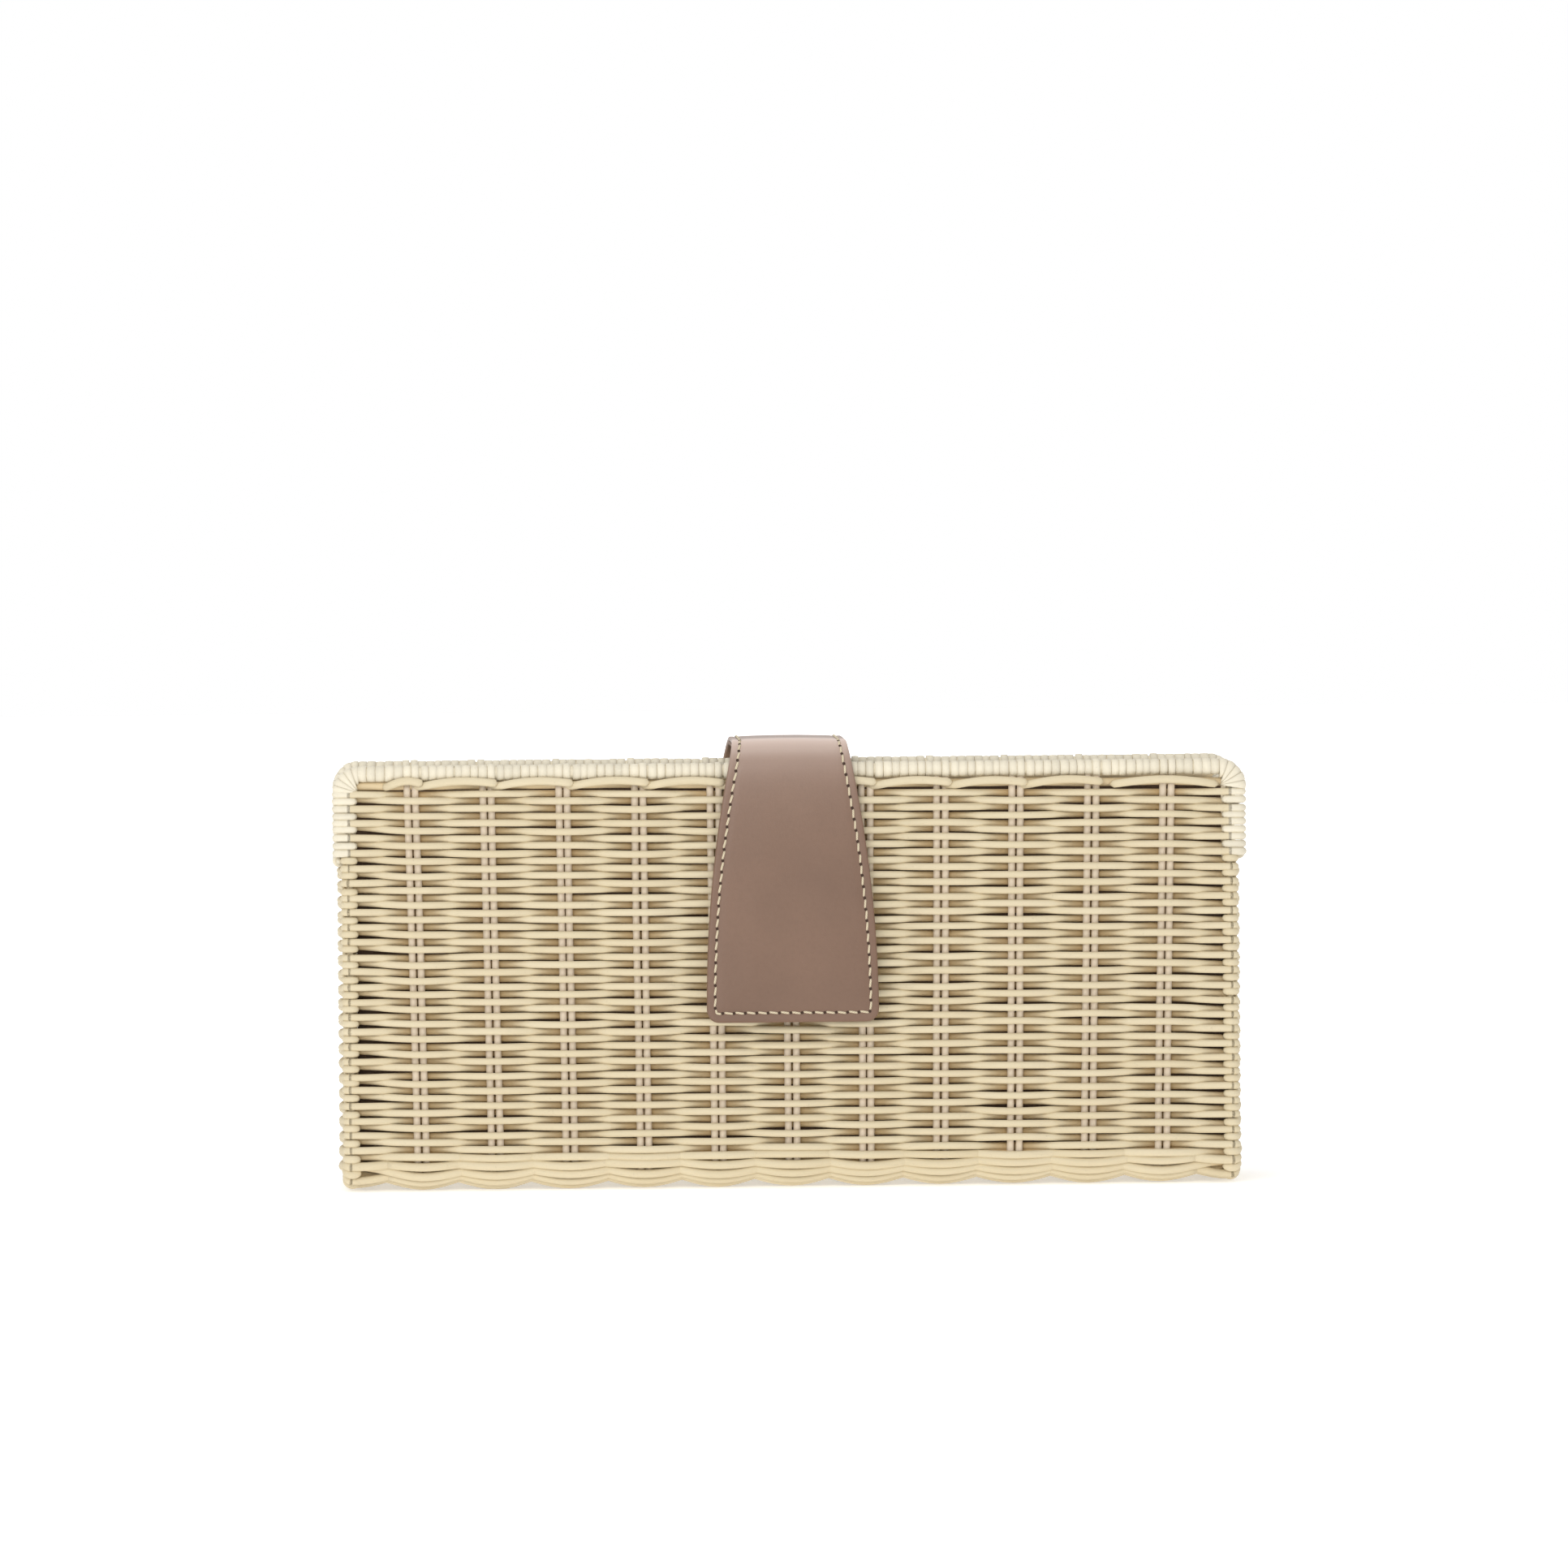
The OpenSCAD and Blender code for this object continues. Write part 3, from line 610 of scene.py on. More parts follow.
def rim_turns(scene, section, rng, slip):
    """Turns of cane round the rim and its corners, with the stake rods that pass over it.

    Each turn is a loop round the rod at x, or at an angle about a corner's middle. Its
    section is a flattened oval: cos a across the turn and sin a out from the rod. The
    right corner's turns go on by the angle slip, down to the lower rows there."""
    rims, weave = scene.clutch_rims, scene.clutch_weave
    gap, uneven, sway, over_rim, overlap = 0.0006, 0.00007, 0.00018, 0.00025, 1.03
    bend = rims.corner - rims.rim / 2
    bar = section.width / 2 - rims.corner
    stakes = section.stake_x(np.arange(section.count), 0.0)
    over = np.append(stakes + weave.spread / 2, stakes[-1] - weave.spread / 2)
    over.sort()
    turns = []

    def lay(start, end, sway=0.0):
        """Turns side by side: x, width, how proud, angle, whether in a fan, how hollow."""
        edges = np.linspace(start, end, max(0, round((end - start) / rims.turn)) + 1)
        if sway and len(edges) > 2:
            edges[1:-1] += rng.normal(0, sway, len(edges) - 2)
        for low, high in zip(edges[:-1], edges[1:]):
            turns.append(((low + high) / 2, high - low, rng.normal(0, uneven), 0, 0, 0))

    start = -bar
    for n, rod in enumerate(over):
        lay(start, rod - weave.rod / 2, sway)
        turns.append((rod, weave.rod, over_rim, 0, 0, 0))
        start = rod + weave.rod / 2 + (gap if n < len(over) - 2 else 0)
    lay(start, bar)
    fans = 5
    for side in (-1, 1):
        step = (math.pi / 2 + slip * (side > 0)) / fans
        for n in range(fans):
            lift, angle = rng.normal(0, uneven), side * (n + 0.5) * step
            turns.append((side * bar, step, lift, angle, 1, min(1, (n + 0.6) / 2)))
    x, wide, proud, angle, fan, hollow = np.array(turns).T

    reach_in = (rims.corner - rims.rim) * (1 - hollow) + 0.0003 * hollow
    straight = np.where(fan > 0, rims.corner - rims.rim - reach_in, 0)
    steps, radius = 24, (rims.rim - rims.cane) / 2 + proud
    along, depth, n_along, n_depth, total = stadium(straight, radius, steps)
    middle = np.where(fan > 0, (rims.corner + reach_in) / 2, bend)
    a = 2 * math.pi * np.arange(8) / 8
    across = overlap * blunt(np.cos(a), 0.3)
    rise = rims.cane / 2 * blunt(np.sin(a), 0.45)
    from_middle = (middle[:, None] + along)[..., None] + n_along[..., None] * rise
    out = depth[..., None] + n_depth[..., None] * rise
    x, wide, angle, fan = (v[:, None, None] for v in (x, wide, angle, fan))
    slant = rng.normal(0, 0.00012, x.shape) * (1 - fan)
    shift = wide / 2 * across
    turned = angle + shift * fan
    place = x + shift * (1 - fan) + slant * np.sin(2 * math.pi * np.arange(steps)[:, None] / steps)
    rings = section.place(
        place + from_middle * np.sin(turned), bend - from_middle * np.cos(turned), out
    )
    return strands(rings, np.arange(steps + 1)[None] / steps * total, rng, True)


def rim_core(scene, section, rng):
    """The rod inside the rim: a bar with a quarter circle at each end."""
    rims = scene.clutch_rims
    bend = rims.corner - rims.rim / 2
    bar = section.width / 2 - rims.corner
    turn = np.linspace(0, math.pi / 2, 9)[1:]
    x = np.concatenate([[0, bar], bar + bend * np.sin(turn)])
    s = np.concatenate([[0, 0], bend - bend * np.cos(turn)])
    lines = section.place(np.append(-x[:0:-1], x), np.append(s[:0:-1], s), 0)[None]
    return rods(lines, rims.rim / 2 - rims.cane * 0.4, DEEPER, rng)


def border_strand_bundle(scene, section, rng, drift):
    """Turned-down stake ends under the rim, lower by drift at the right end.

    Each one comes out from behind its stake with a round end, bows up along the rim and
    dips behind the strand before it; the last one bows evenly over the last stake."""
    rims, weave = scene.clutch_rims, scene.clutch_weave
    t = np.linspace(0, 1, 26)[None]
    stakes = section.stake_x(np.arange(section.count), 0.0)
    last = (np.arange(section.count) == section.count - 1)[:, None]

    # Ends: just right of its own stake, and just right of the stake before it
    past_own, past_before, first_left = 0.0035, 0.0002, 0.0085
    last_right, last_left = 0.0163, 0.0185
    right, left = stakes + past_own, np.roll(stakes, 1) + past_before
    left[0] = stakes[0] - first_left
    right[-1], left[-1] = stakes[-1] + last_right, stakes[-1] - last_left
    x = right[:, None] + (left - right)[:, None] * t

    # Place below the rim, with the bow
    low, rise, dip, last_low, last_rise = 0.0039, 0.0009, 0.0012, 0.0049, 0.0017
    uneven, lift = 0.00008, 0.0002
    bow = low - rise * np.sin(math.pi * np.clip(t * 1.15, 0, 1)) + dip * t**3
    even_bow = last_low - last_rise * np.sin(math.pi * t)
    s = np.where(last, even_bow, bow) + rng.normal(0, uneven, (section.count, 1)) - rims.snug
    s = s + drift * (x / section.width + 0.5) - lift

    # Place in front of the weave: tucked in at both ends
    out = weave.rod / 2 + rims.strand / 2 + rims.snug / 2
    start_in, end_in, last_in = 0.0007, 0.0036, 0.0022
    tuck = start_in * np.clip(1 - t / 0.10, 0, 1) ** 2
    tuck = tuck + end_in * np.clip((t - 0.7) / 0.3, 0, 1) ** 1.5
    even_tuck = last_in * np.clip(np.abs(2 * t - 1) * 2 - 1, 0, 1) ** 2
    lines = section.place(x, s, out - np.where(last, even_tuck, tuck))

    ends = np.clip(np.minimum(t, 1 - t) / 0.055, 0, 1)
    size = rims.strand / 2 * np.sqrt(np.clip(1 - (1 - ends) ** 2, 0.04, 1))
    return strands(rounded_rings(lines, size, -UP), distances(lines), rng)


def side_bundles(scene, section):
    """Side wall at +X: rows across two stakes, between the legs of the rail."""
    basket, weave, rims = scene.clutch_basket, scene.clutch_weave, scene.clutch_rims
    rng = np.random.default_rng(23)
    middle = basket.width / 2 - basket.side_inset - section.crest
    play = 0.0003
    top = basket.height - basket.side_drop - rims.side_border - play
    bottom = section.crest + rims.rail / 2 + play
    rows = round((top - bottom) / weave.weaver)
    j = np.arange(rows)[:, None]
    z = bottom + (j + 0.5) * ((top - bottom) / rows)

    def reach(z):
        """Half the room between the rail's legs at height z."""
        turn = (section.bend - rims.rail / 2) ** 2 - np.maximum(section.bend_z - z, 0) ** 2
        low = section.bend_y + np.sqrt(np.maximum(turn, 1e-9))
        high = section.half_mouth + (section.rim_z - z) * math.tan(section.lean) - rims.rail / 2
        return np.where(z < section.bend_z, low, high)

    # Weavers: they swing round both stakes, end in the rails and are thicker near the base
    into_rail, outwards, inwards, thicker, thick_up_to = 0.0006, 0.0008, 0.0004, 0.25, 0.008
    k = np.linspace(-1, 1, 33)[None]
    y = k * (reach(z) + into_rail)
    swing = (weave.rod + weave.weaver) / 4 * np.cos(math.pi * (2 * k - 1) / 2 + math.pi * j)
    ends = np.clip(np.abs(k) * 4 - 3, 0, 1)
    x = middle + outwards + swing * (1 - ends) - inwards * ends
    level = z + wander(rng, rows, k.shape[1], 5, weave.unevenness)
    lines = np.stack(np.broadcast_arrays(x, y, level), axis=-1)
    near_base = np.clip(1 - (z - bottom) / thick_up_to, 0, 1)
    size = weave.weaver / 2 * (1 + thicker * near_base)
    weavers = strands(rounded_rings(lines, size, UP), distances(lines), rng)

    # Stakes: two pairs, at half the room to each side
    below, above = 0.001, 0.0008
    heights = np.linspace(bottom - below, top + above, 24)[None]
    pair, rod = np.array([[-0.5, -0.5, 0.5, 0.5], [-0.5, 0.5, -0.5, 0.5]])[:, :, None]
    place = pair * reach(heights) + rod * weave.spread
    stakes = np.stack(np.broadcast_arrays(middle, place, heights), axis=-1)
    return [weavers, rods(stakes, weave.rod / 2, ACROSS, rng)]


def side_border_bundles(scene, section):
    """Border over the side wall at +X: a rod with turns of cane."""
    basket, rims = scene.clutch_basket, scene.clutch_rims
    rng = np.random.default_rng(31)
    half, steps, into_rails = rims.side_border / 2, 20, 0.002
    z = basket.height - basket.side_drop - half
    x = basket.width / 2 - half
    reach = section.half_mouth + (section.rim_z - z) * math.tan(section.lean) - rims.rail / 2
    count = round(2 * reach / rims.turn)
    edges = np.linspace(-reach, reach, count + 1)
    edges[1:-1] += rng.normal(0, 0.00012, count - 1)
    middle, wide = (edges[1:] + edges[:-1])[:, None, None] / 2, np.diff(edges)[:, None, None]
    around = 2 * math.pi * np.arange(steps)[:, None] / steps
    a = 2 * math.pi * np.arange(8) / 8
    radius = half - rims.cane / 2 + rims.cane / 2 * np.sin(a)
    y = middle + wide / 2 * blunt(np.cos(a), 0.75)
    rings = np.stack(
        np.broadcast_arrays(x - radius * np.cos(around), y, z + radius * np.sin(around)), axis=-1
    )
    run = np.arange(steps + 1)[None] / steps * 2 * math.pi * half
    rod = np.linspace(-reach - into_rails, reach + into_rails, 5)
    line = np.stack(np.broadcast_arrays(x, rod, z), axis=-1)[None]
    turns = strands(rings, run, rng, True)
    return [turns, rods(line, half - rims.cane * 0.8, ACROSS, rng)]


def rail_core(section, rims, rng):
    """The rod inside the right rail, along the basket's section."""
    below_rim, radius = 0.006, 0.0011
    down = np.linspace(below_rim, section.face, 6)[:-1]
    s = np.append(down, np.linspace(section.face, section.face + section.arc, 9))
    s = np.append(s, 2 * section.half - s[::-1])
    lines = section.place(section.width / 2 - rims.leg + rims.rail / 2, s, 0)[None]
    return rods(lines, radius, ACROSS, rng)


# ---- Form of the strap ----


def strap_line(scene, section):
    """Middle of the strap in the YZ plane, from the sewn end over the mouth to the lower end.

    Up the back wall, a quarter circle, level over the mouth, an arc, and straight down."""
    basket, strap = scene.clutch_basket, scene.clutch_strap
    thick = strap.leather + strap.backing
    hinge_y, hinge_z = HINGE[1], HINGE[2]
    top = basket.height + strap.rise
    radius = top - thick / 2 - hinge_z
    arc_y = hinge_y - radius
    end_z = top - strap.face
    wall = section.half_mouth + (section.rim_z - hinge_z) * math.tan(section.lean)
    gap = hinge_y - wall - section.crest / math.cos(section.lean) - thick / 2
    snap_z = end_z + strap.snap_up
    lean = section.lean + math.atan((strap.snap - gap) / (hinge_z - snap_z))

    def arc(middle_y, start, end):
        """Arc about a point at the hinge's height."""
        turn = np.linspace(start, end, 16)[:, None]
        return [middle_y, hinge_z] + radius * np.concatenate([np.cos(turn), np.sin(turn)], axis=1)

    up = np.linspace(strap.sewn, 0.001, 40)[:, None]
    back = [hinge_y, hinge_z] + up * [math.sin(section.lean), -math.cos(section.lean)]
    across = np.linspace(arc_y, -arc_y, 14)[1:-1, None]
    level = np.concatenate([across, np.full_like(across, hinge_z + radius)], axis=1)
    front_arc = arc(-arc_y, math.pi / 2, math.pi - lean)
    start = front_arc[-1]
    down = np.linspace(0, (start[1] - end_z) / math.cos(lean), 60)[1:, None]
    face = start + down * [-math.sin(lean), -math.cos(lean)]
    return np.concatenate([back, arc(arc_y, 0, math.pi / 2), level, front_arc, face])


def strap_width(scene, z, on_front):
    """Width of the strap at height z: a parabola that flares downwards on the front."""
    basket, strap = scene.clutch_basket, scene.clutch_strap
    top = basket.height + strap.rise

    def flare(z):
        """Width of the flare at height z."""
        u = np.clip((top - z) / (strap.face - strap.corner), 0, 1)
        return strap.end_width - (strap.end_width - strap.top_width) * (1 - u) ** 2

    return np.where(on_front, flare(z), np.minimum(flare(z), flare(HINGE[2])))


def fine_line(line, step):
    """The line with even steps, and closer ones at both ends for the rounded edges."""
    run = distances(line[None])[0]
    near = np.array([0, 0.06, 0.15, 0.3, 0.5, 0.75, 1.1, 1.6, 2.2, 3.0]) * 1e-3
    inner = np.linspace(0.004, run[-1] - 0.004, int(run[-1] / step))
    at = np.concatenate([near, inner, run[-1] - near[::-1]])
    return np.stack([np.interp(at, run, line[:, n]) for n in (0, 1)], axis=-1), at, run[-1]


def strap_outline(scene, section, step, inset):
    """The strap's line, its normals, the place along it, how near the closer end is and the
    half width there, with round corners, all for an outline moved inwards by inset."""
    strap = scene.clutch_strap
    line, at, total = fine_line(strap_line(scene, section), step)
    along = unit(np.gradient(line, axis=0))
    normal = np.stack([along[:, 1], -along[:, 0]], axis=-1)
    on_front = at > strap.sewn + 0.02
    near = np.minimum(at, total - at) - inset
    corner = strap.corner - inset
    drawn_in = np.sqrt(np.maximum(corner**2 - np.maximum(corner - near, 0) ** 2, 1e-12))
    width = strap_width(scene, line[:, 1], on_front) / 2 - inset - corner + drawn_in
    return line, normal, at, near, width


def fold_highlight(line):
    """Share of painted highlight on the leather where the strap bends over: most in the
    bends at both sides of the mouth, less on the level part between them and behind, and half
    as much in the back bend as in the front one."""
    bends_at = 0.0141
    fall = line[:, 1] - line[:, 1].max()
    highlight = 0.78 * np.exp(fall / 0.003) + 0.22 * np.exp(fall / 0.011)
    level = np.clip(bends_at - np.abs(line[:, 0]), 0, None)
    highlight = highlight * (0.35 + 0.65 * np.exp(-level / 0.004))
    return highlight * (0.75 - 0.25 * np.tanh(line[:, 0] / 0.006))


def strap_layer(name, scene, section, low, high, crown):
    """One layer of the strap: a flat oval ring carried along the strap's line.

    The half width follows the strap's outline with round corners at both ends, the edges
    are rounded over, and the face bulges a little between the two rows of stitches."""
    line, normal, at, near, width = strap_outline(scene, section, 0.0011, 0.0)
    edge = (high - low) / 2
    tip = np.sqrt(np.clip(1 - (1 - np.clip(near / edge, 0.02, 1)) ** 2, 0, 1))
    faces, rim = np.linspace(-1, 1, 41), np.linspace(0, math.pi, 9)[1:-1]
    across = np.concatenate([faces, 1 + 0 * rim, faces[::-1], -1 + 0 * rim])
    bulge = np.concatenate([0 * faces, np.sin(rim), 0 * faces, -np.sin(rim)])
    height = np.concatenate([1 + 0 * faces, np.cos(rim), -1 + 0 * faces, -np.cos(rim)])
    x = np.maximum(width - edge * tip, 1e-5)[:, None] * across + edge * tip[:, None] * bulge

    # The outer face domes up inside the stitches and dips along them
    dome_over, seam_deep, seam_wide = 0.012, 0.00022, 0.0007
    from_seam = np.minimum(width[:, None] - np.abs(x), near[:, None]) - scene.clutch_strap.inset
    dome = crown * np.clip(from_seam / dome_over, 0, 1) ** 0.6
    seam = -seam_deep * np.exp(-((from_seam / seam_wide) ** 2))
    lift = (low + high) / 2 + edge * tip[:, None] * height
    lift = lift + np.where(height > 0.5, dome + seam * (crown > 0), 0)
    y = line[:, :1] + normal[:, :1] * lift
    z = line[:, 1:] + normal[:, 1:] * lift
    rings = np.stack([x, y, z], axis=-1)[None, :, ::-1]
    # The last value is each ring's share of painted highlight
    return strand_mesh(name, [(rings, at[None], np.zeros(1), False, fold_highlight(line))])


def stitch_line(scene, section):
    """The line of the stitches on the outer face: the strap's outline moved inwards, from the
    sewn end's middle round one side, the lower end and the other side.

    Returns a function that gives points and outward normals at places along the line, the
    number of stitches, and the pitch that spreads them evenly."""
    strap = scene.clutch_strap
    line, normal, _, near, width = strap_outline(scene, section, 0.0006, strap.inset)
    lift = (strap.leather + strap.backing) / 2
    keep = near > 0
    side = np.stack([width, *(line + normal * lift).T], axis=-1)[keep]
    outward = np.concatenate([0 * width[:, None], normal], axis=1)[keep]
    across = np.linspace(1, -1, 80)[1:-1, None]

    def straight(n, across):
        """The line across an end of the strap."""
        return np.concatenate([across * side[n, 0], np.tile(side[n, 1:], (len(across), 1))], axis=1)

    points = np.concatenate(
        [side, straight(-1, across), side[::-1] * [-1, 1, 1], straight(0, across[::-1])]
    )
    ends = [np.tile(outward[n], (len(across), 1)) for n in (-1, 0)]
    normals = np.concatenate([outward, ends[0], outward[::-1], ends[1]])
    run = distances(points[None])[0]
    count = round(run[-1] / strap.stitch)

    def at_places(places):
        """Points and normals at places along the line."""
        return [
            np.stack([np.interp(places, run, values[:, n]) for n in range(3)], axis=-1)
            for values in (points, normals)
        ]

    return at_places, count, run[-1] / count


def stitches(name, scene, section):
    """Rows of stitches: short threads that arch from one needle hole to the next."""
    thick = scene.clutch_strap.thread
    rng = np.random.default_rng(41)
    at_places, count, pitch = stitch_line(scene, section)
    t = np.linspace(0, 1, 9)
    leaves_hole, covers, slanted, uneven = 0.10, 0.80, 0.00045, 0.00004
    line, out = at_places((np.arange(count)[:, None] + leaves_hole + covers * t) * pitch)
    side = np.cross(unit(np.gradient(line, axis=1)), out)
    slant = (t - 0.5) * slanted
    arch = (np.sin(math.pi * t) ** 0.6)[:, None] * thick * 0.55 - thick * 0.45
    line = line + out * arch + side * slant[:, None] + rng.normal(0, uneven, (count, 1, 3))
    size = thick / 2 * np.sqrt(np.clip(1 - (2 * t - 1) ** 6, 0.12, 1))
    rings = rounded_rings(line, size[None], out, sides=8)
    return strand_mesh(name, [(rings, distances(line), rng.uniform(0, 1, count), False)])


def needle_holes(name, scene, section):
    """A small cone-shaped pit between each two stitches, painted dark for the shade in a needle
    hole: a low disc with a dipped middle.
    """
    at_places, count, pitch = stitch_line(scene, section)
    at = np.arange(count) * pitch
    middle, out = at_places(at)
    out = unit(out)
    along = unit(at_places(at + 1e-4)[0] - middle + 1e-12)
    side = np.cross(out, along)
    along, side, out, middle = (v[:, None, None] for v in (along, side, out, middle))
    a = 2 * math.pi * np.arange(8)[:, None] / 8
    sizes = np.array([0.00055, 0.00045, 0.0002])[:, None, None]
    heights = np.array([-0.00022, 0.00004, 0.00001])[:, None, None]
    rings = middle + sizes * (np.cos(a) * along + np.sin(a) * side) + heights * out
    return strand_mesh(name, [(rings[:, :, ::-1], np.zeros((count, 3)), np.zeros(count), False)])


def lining_cloth(name, scene, section):
    """The lining: one strip down the front, under the base and up the back, and two ends.

    The strip is a grid over x and s, the ends are grids over y and z, and small smooth
    waves keep them from lying dead flat. Returns the piece, its flat size and its area."""
    basket = scene.clutch_basket
    low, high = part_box("lining")
    past_cad, inside, below_rim, below_side, above_base = 0.0011, 0.0012, 0.0048, 0.006, 0.0003
    half = (high.x - low.x) / 2 + past_cad
    depth = -(section.crest + inside)
    s = section.samples(below_rim, 40, 9, 8)
    grid_s, grid_x = np.meshgrid(s, np.linspace(-half, half, 81), indexing="ij")
    wave = 0.00018 * np.sin(grid_x * 210 + 3 * np.sin(grid_s * 60)) * np.sin(grid_s * 95 + 1)
    strip = section.place(grid_x, grid_s, depth + wave)

    # Ends: as wide at each height as the room between the two walls
    z_top = basket.height - basket.side_drop - below_side
    rows = np.linspace(strip[:, 0, 2].min() + above_base, z_top, 30)
    wall = section.place(0, np.linspace(section.face + section.arc, below_rim, 200), depth)
    edge = np.interp(rows, wall[:, 2], -wall[:, 1])
    end_y = edge[:, None] * np.linspace(-1, 1, 13)
    end_z = np.broadcast_to(rows[:, None], end_y.shape)
    end_x = half + 0.00012 * np.sin(end_z * 140 + end_y * 90)
    right = np.stack([end_x, end_y, end_z], axis=-1)
    left = np.stack([-end_x, end_y, end_z], axis=-1)[:, ::-1]

    points, faces, first = [], [], 0
    for grid in (strip, right, left):
        index = first + np.arange(grid[..., 0].size).reshape(grid.shape[:2])
        a, b = index[:-1], index[1:]
        faces.append(np.stack([a[:, :-1], b[:, :-1], b[:, 1:], a[:, 1:]], axis=-1).reshape(-1, 4))
        points.append(grid.reshape(-1, 3))
        first += index.size
    points, faces = np.concatenate(points), np.concatenate(faces)
    corners = faces.ravel()
    values = {"tint": np.zeros(len(points))}
    uv = points[corners][:, [0, 2]]
    piece = surface(name, points, corners, np.full(len(faces), 4), uv, values)
    length_down = s[-1] - s[0]
    ends = 4 * float(np.sum((edge[1:] + edge[:-1]) * np.diff(rows)) / 2)
    flat = (2 * half + 2 * (z_top - rows[0]), length_down)
    return piece, flat, float(2 * half * length_down + ends)


# ---- Finishes ----


class Nodes:
    """Short way to add, set and join the shader nodes of a material or the world."""

    def __init__(self, owner, shader="Principled BSDF"):
        owner.use_nodes = True
        self.owner, self.tree = owner, owner.node_tree
        self.shader = self.tree.nodes[shader]

    def feed(self, value, socket):
        """Joins an output to a socket, or sets the socket to a number or a colour. A name
        stands for one of the shader's own sockets."""
        if isinstance(socket, str):
            socket = self.shader.inputs[socket]
        if isinstance(value, bpy.types.NodeSocket):
            self.tree.links.new(value, socket)
        else:
            socket.default_value = (*value, 1) if socket.type == "RGBA" else value

    def add(self, kind, output, inputs=None, **settings):
        """Output of a new node with these settings and inputs."""
        node = self.tree.nodes.new(kind)
        for key, value in settings.items():
            setattr(node, key, value)
        for key, value in (inputs or {}).items():
            self.feed(value, node.inputs[key])
        return node.outputs[output]

    def place(self):
        """Place on the piece."""
        return self.add("ShaderNodeTexCoord", "Object")

    def along(self):
        """Place along and round a strand."""
        return self.add("ShaderNodeUVMap", "UV", uv_map="strand")

    def attribute(self, name):
        """Value per point that the mesh carries."""
        return self.add("ShaderNodeAttribute", "Fac", attribute_name=name)

    def math(self, operation, *values, clamp=False):
        """Sum or product of values or outputs."""
        inputs = dict(enumerate(values))
        return self.add("ShaderNodeMath", 0, inputs, operation=operation, use_clamp=clamp)

    def mix(self, factor, one, two, way="MIX"):
        """Colour between one and two; each may be an output or a colour."""
        inputs = {0: factor, 6: one, 7: two}
        return self.add("ShaderNodeMix", 2, inputs, data_type="RGBA", blend_type=way)

    def ramp(self, source, low, high, start=0.0, end=1.0):
        """Stretches a value so that low gives start and high gives end."""
        inputs = {"Value": source, "From Min": low, "From Max": high}
        inputs |= {"To Min": start, "To Max": end}
        return self.add("ShaderNodeMapRange", "Result", inputs)

    def noise(self, coordinates, scale, detail=3.0, stretch=None):
        """Noise over some coordinates, stretched along an axis where stretch is given."""
        if stretch:
            inputs = {"Vector": coordinates, "Scale": stretch}
            coordinates = self.add("ShaderNodeMapping", "Vector", inputs)
        inputs = {"Vector": coordinates, "Scale": scale, "Detail": detail}
        return self.add("ShaderNodeTexNoise", "Fac", inputs)

    def wave(self, coordinates, scale, direction):
        """Sine waves over some coordinates."""
        inputs = {"Vector": coordinates, "Scale": scale}
        return self.add("ShaderNodeTexWave", "Fac", inputs, bands_direction=direction)

    def bump(self, height, strength, distance):
        """Bumps of the surface, from a height."""
        inputs = {"Height": height, "Strength": strength, "Distance": distance}
        self.feed(self.add("ShaderNodeBump", "Normal", inputs), "Normal")

    def seen(self, other, value):
        """One value for rays from the camera, mirrors and glass, and another for the rest."""
        path = self.tree.nodes.new("ShaderNodeLightPath").outputs
        total = self.math("ADD", path["Is Camera Ray"], path["Is Glossy Ray"])
        total = self.math("ADD", total, path["Is Transmission Ray"], clamp=True)
        return self.ramp(total, 0, 1, other, value)


def darker(chip, share):
    """A colour brought down to a share of itself."""
    return [share * part for part in chip]


def rattan(made, light, dark, roughness):
    """Rattan: a tint for each strand, blotches along it, fine grain, a waxy gloss, and painted shade
    on the stretches that lie in the recesses behind the stakes.
    """
    along = made.along()
    blotch = made.noise(along, 28, 2, (1, 0.02, 1))
    grain = made.noise(along, 60, 4, (3, 9, 1))
    fibre = made.noise(along, 100, 2, (0.6, 22, 1))
    tint = made.math("MULTIPLY", made.attribute("tint"), 0.4)
    shade = made.math("MULTIPLY_ADD", made.ramp(blotch, 0.35, 0.7), 0.55, tint)
    colour = made.mix(shade, light, dark)
    streaks = made.ramp(fibre, 0.52, 0.85)
    specks = made.ramp(made.noise(made.place(), 900, 2), 0.66, 0.8)
    for marks, share in ((streaks, 0.45), (specks, 0.35)):
        colour = made.mix(marks, colour, made.mix(share, colour, darker(dark, 0.72)))
    # Painted shade: the base colour is multiplied towards the shade colour by each ring's share
    shaded = bpy.context.scene.clutch_finish.shade
    shaded = made.mix(made.attribute("deep"), (1, 1, 1), shaded)
    made.feed(made.mix(1.0, colour, shaded, "MULTIPLY"), "Base Color")
    made.feed(made.ramp(grain, 0, 1, roughness - 0.07, roughness + 0.1), "Roughness")
    made.feed(0.18, "Specular IOR Level")
    made.bump(made.mix(0.5, fibre, grain), 0.35, 0.0002)


def leather(made, base, edge, highlight, roughness):
    """Leather: soft cloudy colour, a painted highlight where it bends over the mouth, fine pebble
    grain and a dull gloss.
    """
    place = made.place()
    cloud = made.ramp(made.noise(place, 34), 0.35, 0.68)
    fine = made.noise(place, 700)
    pebble = made.add("ShaderNodeTexVoronoi", "Distance", {"Vector": place, "Scale": 1500})
    colour = made.mix(cloud, [min(1, 1.07 * part) for part in base], darker(base, 0.93))
    colour = made.mix(made.ramp(fine, 0.45, 0.75), colour, made.mix(0.18, colour, edge))
    # Painted highlight: the colour goes towards the highlight colour by each ring's share
    made.feed(made.mix(made.attribute("deep"), colour, highlight), "Base Color")
    made.feed(roughness, "Roughness")
    made.feed(0.4, "Specular IOR Level")
    made.bump(made.math("ADD", pebble, fine), 0.22, 0.00012)


